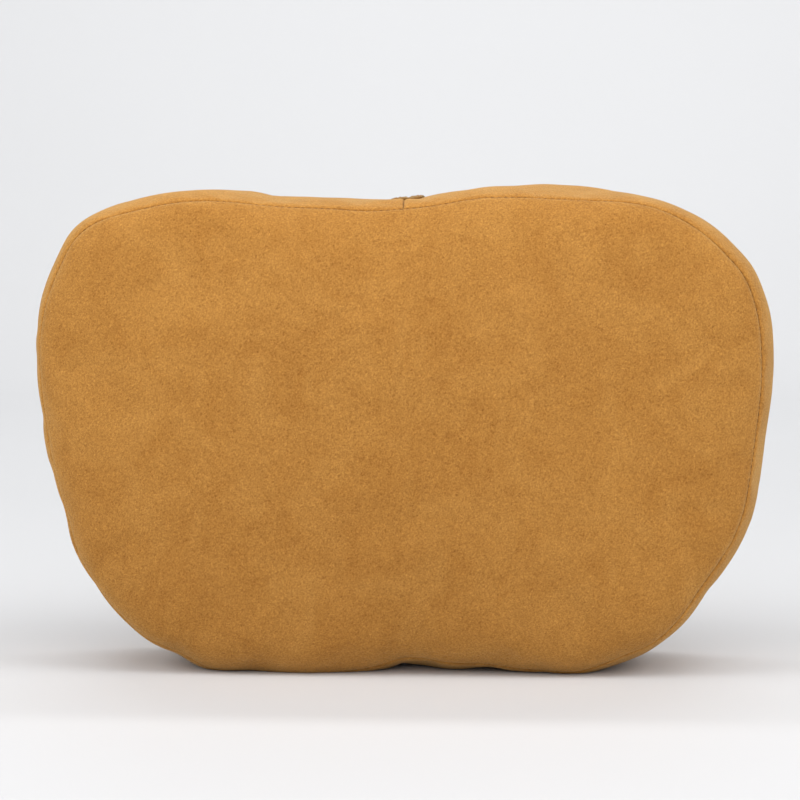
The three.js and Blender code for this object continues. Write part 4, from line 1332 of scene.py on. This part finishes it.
def add_bezel():
    """The plate round the controls, with a flared hole for each of them."""
    half = [h + BEZEL["flange"] for h in POD["half"]]
    outline = stadium((POD["y"], POD["z"]), half, 120)
    plate = extruded(outline, BEZEL["back"], BEZEL["face"], BEZEL["round"], 5)
    face, flare = BEZEL["face"], BEZEL["flare"]
    holes = []
    for control in CONTROLS:
        r = control["r"] + BEZEL["room"]
        profile = [(r, face - 6), (r, face - flare), (r + 0.12, face - 0.15), (r + flare, face + 0.01)]
        holes.append(turned([*profile, (r + flare, face + 3)], (POD["y"], control["z"])))
    points, faces = to_left(carved(plate, joined(*holes)))
    look = moulded("bezel_plastic", (0.046, 0.025, 0.014), 0.48, 0.3)
    bezel = piece("control_bezel_plate", points, faces, look, "trim_plastic", sharp=35)
    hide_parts("control_bezel")


def dish(radius):
    """The profile of a button's face: (radius, depth) pairs from its skirt to its middle."""
    rim = [(radius, 163.5), (radius - 0.15, 163.95), (radius - 0.5, 164.2), (radius - 1, 164.3)]
    hollow = [(radius - 1.7, 164.24), (radius * 0.6, 164.0), (radius * 0.3, 163.86), (0.05, 163.82)]
    return [*rim, *hollow]


def on_dish(radius, places):
    """Points on a button's face at (across, up) places from its middle."""
    profile = np.array(dish(radius)[::-1])
    lift = 0.02
    return [(POD["y"] + a, float(np.interp(math.hypot(a, b), *profile.T)) + lift, b) for a, b in places]


def add_buttons():
    """The two buttons, each with a flange behind the bezel and a raised mark on its hollow face."""
    stem = [(3.0, 156.6), (3.0, 159.3)]
    arc = [(2.1 * math.sin(t), 2.1 * math.cos(t)) for t in np.linspace(0.75, 2 * math.pi - 0.75, 40)]
    ring_and_bar = [arc, [(0, 0.4 + 2.3 * t) for t in np.linspace(0, 1, 8)]]
    rise = np.linspace(-1.8, 1.8, 24)
    warm_lines = [[(x + 0.32 * math.sin(1.9 * z), z) for z in rise] for x in (-1.45, 0, 1.45)]
    cream = moulded("button_cream", (0.66, 0.55, 0.38), 0.36, 0.12)
    ink = moulded("button_mark", (0.075, 0.045, 0.025), 0.5, 0.1)
    for name, control, marks in (("power", POWER, ring_and_bar), ("heat", HEAT, warm_lines)):
        r, z = control["r"], control["z"]
        flange = [(r + 0.9, 159.4), (r + 1.0, 159.6), (r + 1.0, 160.6), (r + 0.9, 160.8), (r, 160.9)]
        points, faces = to_left(turned([*stem, *flange, *dish(r)], (POD["y"], z)))
        made = piece(f"{name}_button_cap", points, faces, cream, "button_plastic", f"{name}_key", sharp=50)
        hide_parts(f"{name}_button")
        lines = [np.array(on_dish(r, places)) + (0, 0, z) for places in marks]
        points, faces = to_left(joined(*[bead(line, 0.26) for line in lines]))
        piece(f"{name}_button_mark", points, faces, ink, "trim_plastic", f"{name}_key")


def add_lens_and_jack():
    """The lens of the light, and the power socket with its pin."""
    dome = [(1.95, 158), (1.95, 163.4), (1.75, 163.85), (1.3, 164.1), (0.7, 164.24), (0.05, 164.28)]
    look = Look("lens_amber", 0.12, Transmission_Weight=0.2, Subsurface_Weight=0.35, Coat_Weight=0.4)
    cloud = look.noise(1.2, 2.0, 0.5, 0.4)
    look.use("Base Color", look.mix(cloud, (0.95, 0.42, 0.10), (1.0, 0.55, 0.18)))
    look.rough(cloud, 0.08, 0.2)
    look.bump((cloud, 0.01))
    points, faces = to_left(turned(dome, (POD["y"], LED["z"]), 40))
    lens = piece("led_lens_dome", points, faces, look.material, "lens", sharp=50)
    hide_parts("led_lens")
    nose, hole = JACK["nose"] - 0.1, JACK["hole"]
    outer = [(nose, 155), (nose, 163.2), (nose - 0.15, 163.6), (nose - 0.4, 163.75)]
    inner = [(hole + 0.2, 163.7), (hole, 163.4), (hole, 155.6), (0.05, 155.5)]
    middle = (POD["y"], JACK["z"])
    low, high = box_of("dc_jack")
    half = ((high[1] - low[1]) / 2, (high[2] - low[2]) / 2)
    body = turned([*outer, *inner], middle)
    case = extruded(stadium(middle, half, 48, 0.8), 150.2, 155.1, 0.3)
    points, faces = to_left(joined(body, case))
    black = moulded("jack_plastic", (0.03, 0.022, 0.017), 0.38, 0.2)
    socket = piece("dc_jack_socket", points, faces, black, "trim_plastic", sharp=40)
    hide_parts("dc_jack")
    pin = [(JACK["pin"], 155.5), (JACK["pin"], 162.3), (JACK["pin"] * 0.8, 162.7), (0.05, 162.9)]
    points, faces = to_left(turned(pin, middle, 32))
    piece("dc_jack_pin", points, faces, metal("pin_metal", (0.62, 0.60, 0.55), 0.25), "steel", sharp=40)


# ---------------------------------------------------------------- padding and linings
def relaxed(points, faces, rounds):
    """Points moved towards the middle of their neighbours."""
    pairs = np.array([pair for f in faces for pair in zip(f, (*f[1:], f[0]))])
    count = np.zeros(len(points))
    np.add.at(count, pairs[:, 0], 1)
    np.add.at(count, pairs[:, 1], 1)
    for _ in range(rounds):
        total = np.zeros_like(points)
        np.add.at(total, pairs[:, 0], points[pairs[:, 1]])
        np.add.at(total, pairs[:, 1], points[pairs[:, 0]])
        points = (points + total / count[:, None]) / 2
    return points


def add_pad(node, voxel, look, tree, lumps=0.35):
    """A foam pad with the rounded edges and uneven skin of cut foam, kept just inside the cover."""
    source = frame["nodes"][node].data
    points = np.array([v.co for v in source.vertices]) / MM
    faces = [tuple(p.vertices) for p in source.polygons]

    def fine(shape):
        modifier = shape.modifiers.new("fine", "REMESH")
        modifier.mode = "VOXEL"
        modifier.voxel_size = voxel * MM

    points, faces = shaped_mesh(points, faces, fine)
    points = relaxed(points, faces, 3)
    shrink, room = 0.45, FABRIC + 0.9
    points -= normals_of(points, faces) * (shrink + lumps * np.abs(waves(points, 11, 5.0)))[:, None]
    for i, point in enumerate(points):
        place, normal, _, _ = tree.find_nearest(Vector(point))
        if (Vector(point) - place).dot(normal) > -room:
            points[i] = place - normal * room
    points[:, 2] = np.maximum(points[:, 2], room)
    made = piece(f"{node}_foam", points, faces, look, "foam")
    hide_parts(node)


def foam_look(name, colour, cell=1.5):
    """Open-cell foam: round pores with thin walls, yellowed here and there."""
    glow = {"Subsurface_Weight": 0.08, "Subsurface_Radius": (0.004, 0.003, 0.002)}
    look = Look(name, 0.92, Sheen_Weight=0.15, **glow)
    pores, small = look.cells(cell), look.cells(cell * 0.45, shift=(7, 3, 1))
    age = look.noise(40, 3.0, 0.6, 0.8)
    dark = tuple(c * k for c, k in zip(colour, (0.62, 0.55, 0.42)))
    tone = look.mix(look.ranged(pores, 0.1, 0.6, 0, 1), dark, colour)
    yellow = tuple(c * k for c, k in zip(colour, (1.0, 0.9, 0.66)))
    look.use("Base Color", look.mix(look.ranged(age, 0.4, 0.7, 0, 0.7), tone, yellow))
    look.use("Roughness", look.ranged(small, 0.1, 0.6, 0.85, 1.0))
    look.bump((pores, 0.5), (small, 0.2))
    return look.material


def add_padding():
    """The three pieces of foam."""
    tree = tree_of(*joined(FRONT, GUSSET, BACK))
    add_pad("front_pad", 2.6, foam_look("soft_foam", (0.84, 0.79, 0.66), 1.3), tree)
    add_pad("foam_ring", 3.2, foam_look("firm_foam", (0.80, 0.74, 0.58), 1.9), tree, 0.5)
    add_pad("rear_pad", 2.6, foam_look("back_foam", (0.82, 0.77, 0.63), 1.3), tree, 0.2)


def sheet_from(node, step, name, look):
    """A flat lining as cloth: the CAD solid's outline, meshed finely and a little wavy."""
    source = frame["nodes"][node].data
    cloth = bmesh.new()
    cloth.from_mesh(source)
    cloth.transform(Matrix.Scale(1 / MM, 4))
    bmesh.ops.remove_doubles(cloth, verts=cloth.verts, dist=0.01)
    for axis in (0, 2):
        values = [v.co[axis] for v in cloth.verts]
        for place in np.arange(min(values) + step, max(values) - 0.2 * step, step):
            normal = [float(axis == k) for k in range(3)]
            everything = [*cloth.verts, *cloth.edges, *cloth.faces]
            cut = {"plane_co": [place * n for n in normal], "plane_no": normal}
            bmesh.ops.bisect_plane(cloth, geom=everything, **cut)
    cloth.verts.index_update()
    points = np.array([v.co for v in cloth.verts])
    faces = [tuple(v.index for v in f.verts) for f in cloth.faces]
    cloth.normal_update()
    area = sum(f.calc_area() for f in cloth.faces if f.normal.y < -0.5)
    cloth.free()
    flat = points * (1, 0, 1)
    points[:, 1] += 0.22 * waves(flat, 24, 2.0) + 0.1 * waves(flat, 9, 4.0)
    made = piece(name, points, faces, look, "lining", sharp=60)
    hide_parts(node)


def felt(name, colour, light):
    """Thin felt of fine crossed fibres."""
    look = Look(name, 0.8, Sheen_Weight=0.2)
    fibres = look.noise(1.6, 3.0, 0.7, 1.2, stretch=(2, 1, 1))
    look.colours(fibres, 0.3, 0.7, colour, light)
    look.rough(look.noise(30, 2.0), 0.7, 0.95)
    look.bump((fibres, 0.1))
    return look.material


def add_linings():
    """The liner over the nodes, the heating film and the wire that runs to and fro on it."""
    knit = woven("liner_weave", (0.020, 0.020, 0.024), (0.075, 0.075, 0.085), 0.9)
    sheet_from("node_liner", 6.0, "node_liner_cloth", knit)
    film = felt("heating_film_felt", (0.03, 0.03, 0.034), (0.085, 0.085, 0.09))
    sheet_from("heating_film", 6.0, "heating_film_felt", film)
    low, high = box_of("heating_film")
    rows, margin, depth = 9, 14.0, float(low[1]) - 0.12
    start, end = low[0] + 2.4 * margin, high[0] - 2.4 * margin
    line = []
    for k, z in enumerate(np.linspace(low[2] + margin, high[2] - margin, rows)):
        for t in np.linspace(0, 1, 60):
            x = start + (end - start) * (t if k % 2 == 0 else 1 - t)
            line.append((x, depth, z + 1.6 * math.sin(t * 60)))
    points, faces = bead(np.array(line), 0.22, 6)
    piece("heating_wire", points, faces, pvc("heating_wire_skin", (0.30, 0.06, 0.03)), "lining")


# ---------------------------------------------------------------- the parts that stay as the CAD has them
def moulded(name, colour, roughness, grain):
    """Moulded plastic with a fine eroded grain, scuffed and dusty in places."""
    look = Look(name, roughness, IOR=1.49)
    fine = look.noise(0.32, 2.0, 0.6)
    cloud = look.noise(14, 4.0, 0.6, 0.4)
    scuffs = look.noise(3.5, 3.0, 0.7, 1.5, stretch=(4, 1, 1), turn=(20, 30, 0))
    pale = tuple(min(1, c * 1.25 + 0.012) for c in colour)
    worn = look.mix(look.ranged(cloud, 0.35, 0.7, 0, 1), colour, pale)
    dusty = tuple(min(1, c * 1.15 + 0.03) for c in colour)
    look.use("Base Color", look.mix(look.ranged(scuffs, 0.6, 0.75, 0, 0.55), worn, dusty))
    spread = look.ranged(cloud, 0.3, 0.7, roughness - 0.07, roughness + 0.07)
    look.use("Roughness", look.math("ADD", spread, look.ranged(scuffs, 0.6, 0.75, 0, 0.14)))
    look.bump((cloud, 0.03), (fine, 0.05 * grain))
    return look.material


def rubber(name, colour):
    """Soft matte rubber with a mould's fine texture and a bloom of dust."""
    look = Look(name, 0.8, Sheen_Weight=0.25, Sheen_Roughness=0.6, Specular_IOR_Level=0.3)
    fine, bloom = look.noise(0.5, 3.0, 0.7), look.noise(9, 3.0, 0.6, 0.7)
    pale = tuple(c * 1.5 + 0.01 for c in colour)
    look.colours(bloom, 0.4, 0.7, colour, pale)
    look.rough(bloom, 0.72, 0.92)
    look.bump((bloom, 0.05), (fine, 0.05))
    return look.material


def pvc(name, colour):
    """The smooth skin of a wire, with finger marks."""
    look = Look(name, 0.35, Coat_Weight=0.15)
    marks = look.noise(2.5, 3.0, 0.6, 0.8)
    dull = tuple(c * 0.8 + 0.006 for c in colour)
    look.colours(marks, 0.35, 0.7, colour, dull)
    look.rough(marks, 0.28, 0.5)
    look.bump((marks, 0.02))
    return look.material


def windings(name, colour):
    """Enamelled copper wire wound in close turns."""
    look = Look(name, 0.3, Metallic=1.0, Coat_Weight=0.3)
    wire = 0.5
    inputs = {"Vector": look.mapped(), "Scale": RIB_SCALE / wire, "Distortion": 0.8, "Detail": 1.0}
    turns = look.node("ShaderNodeTexWave", inputs, bands_direction="Z").outputs["Fac"]
    patch = look.noise(5, 2.0)
    dark = tuple(c * 0.35 for c in colour)
    look.colours(turns, 0.1, 0.8, dark, colour)
    look.rough(patch, 0.22, 0.45)
    look.bump((turns, 0.12))
    return look.material


def board_look(name, colour):
    """Solder mask over copper tracks, seen as paler lines."""
    look = Look(name, 0.35, Coat_Weight=0.3)
    tracks = look.ranged(look.cells(4.0, "DISTANCE_TO_EDGE"), 0.03, 0.09, 1, 0)
    pale = tuple(c * 1.8 + 0.01 for c in colour)
    look.use("Base Color", look.mix(tracks, colour, pale))
    look.rough(look.noise(8, 2.0), 0.28, 0.45)
    look.bump((tracks, 0.03))
    return look.material


def finish_nodes():
    """Every node of the CAD gets its slot's look, and the rigid ones a small round on their edges."""
    looks = {
        "chassis_plastic": moulded("chassis_abs", (0.026, 0.028, 0.033), 0.5, 1.0),
        "nylon": moulded("nylon", (0.78, 0.75, 0.67), 0.38, 0.3),
        "node_plastic": moulded("node_nylon", (0.67, 0.64, 0.56), 0.42, 0.4),
        "node_rubber": rubber("cap_rubber", (0.105, 0.069, 0.048)),
        "steel": metal("steel", (0.56, 0.57, 0.59), 0.3),
        "bronze": metal("sintered_bronze", (0.52, 0.33, 0.13), 0.42, 0.14),
        "copper": windings("copper_windings", (0.62, 0.24, 0.09)),
        "magnet": moulded("ferrite", (0.020, 0.020, 0.022), 0.62, 1.4),
        "trim_plastic": moulded("trim_abs", (0.044, 0.028, 0.019), 0.45, 0.7),
        "button_plastic": moulded("button_abs", (0.66, 0.55, 0.38), 0.38, 0.2),
        "lens": moulded("lens_resin", (0.9, 0.62, 0.3), 0.15, 0.1),
        "board": board_look("board", (0.014, 0.102, 0.042)),
        "red_wire": pvc("red_pvc", (0.392, 0.023, 0.016)),
        "black_wire": pvc("black_pvc", (0.014, 0.014, 0.015)),
        "zip_metal": metal("zip_metal", (0.55, 0.36, 0.12), 0.34),
        "suede": suede("suede_plain", (3, 3, 3)),
        "foam": foam_look("plain_foam", (0.81, 0.76, 0.62)),
        "lining": rubber("plain_lining", (0.042, 0.042, 0.047)),
        "webbing": rubber("plain_webbing", (0.024, 0.019, 0.016)),
    }
    slots = {part["node"]: part["material_slot"] for part in frame["record"]["subparts"]}
    for name, node in frame["nodes"].items():
        node.data.materials.clear()
        node.data.materials.append(looks[slots[name]])
        if node.hide_render:
            continue
        edge = node.modifiers.new("round edges", "BEVEL")
        edge.width = 0.25 * MM
        edge.segments = 2
        edge.limit_method = "ANGLE"
        edge.angle_limit = math.radians(40)
        node.data.shade_smooth()
        node.data.set_sharp_from_angle(angle=math.radians(32))


PAPER = {"front": -3200, "behind": 2300, "bend": 850, "high": 3600, "wide": 3800, "steps": 24}


def add_stage():
    """A pale sheet of paper that runs along the floor and bends up behind the object."""
    behind, bend = PAPER["behind"], PAPER["bend"]
    line = [(PAPER["front"], 0), (behind - bend, 0)]
    for i in range(1, PAPER["steps"] + 1):
        turn = math.pi / 2 * i / PAPER["steps"]
        line.append((behind - bend + bend * math.sin(turn), bend - bend * math.cos(turn)))
    line.append((behind, PAPER["high"]))
    points = [(x, y, z) for y, z in line for x in (-PAPER["wide"], PAPER["wide"])]
    faces = [(2 * i, 2 * i + 1, 2 * i + 3, 2 * i + 2) for i in range(len(line) - 1)]
    backdrop = object_of("backdrop", points, faces)
    backdrop.data.shade_smooth()
    paper = Look("paper", 0.7, Specular_IOR_Level=0.2)
    tone = paper.noise(400, 1.0)
    paper.use("Base Color", paper.mix(tone, (0.62, 0.624, 0.634), (0.634, 0.638, 0.649)))
    backdrop.data.materials.append(paper.material)


add_camera()
add_lights()
add_stage()
add_front_cover()
add_gusset()
add_back_cover()
add_seam_threads()
add_zip_stitching()
add_zip()
add_slider()
add_pull()
add_strap()
add_tab()
add_bezel()
add_buttons()
add_lens_and_jack()
add_padding()
add_linings()
finish_nodes()
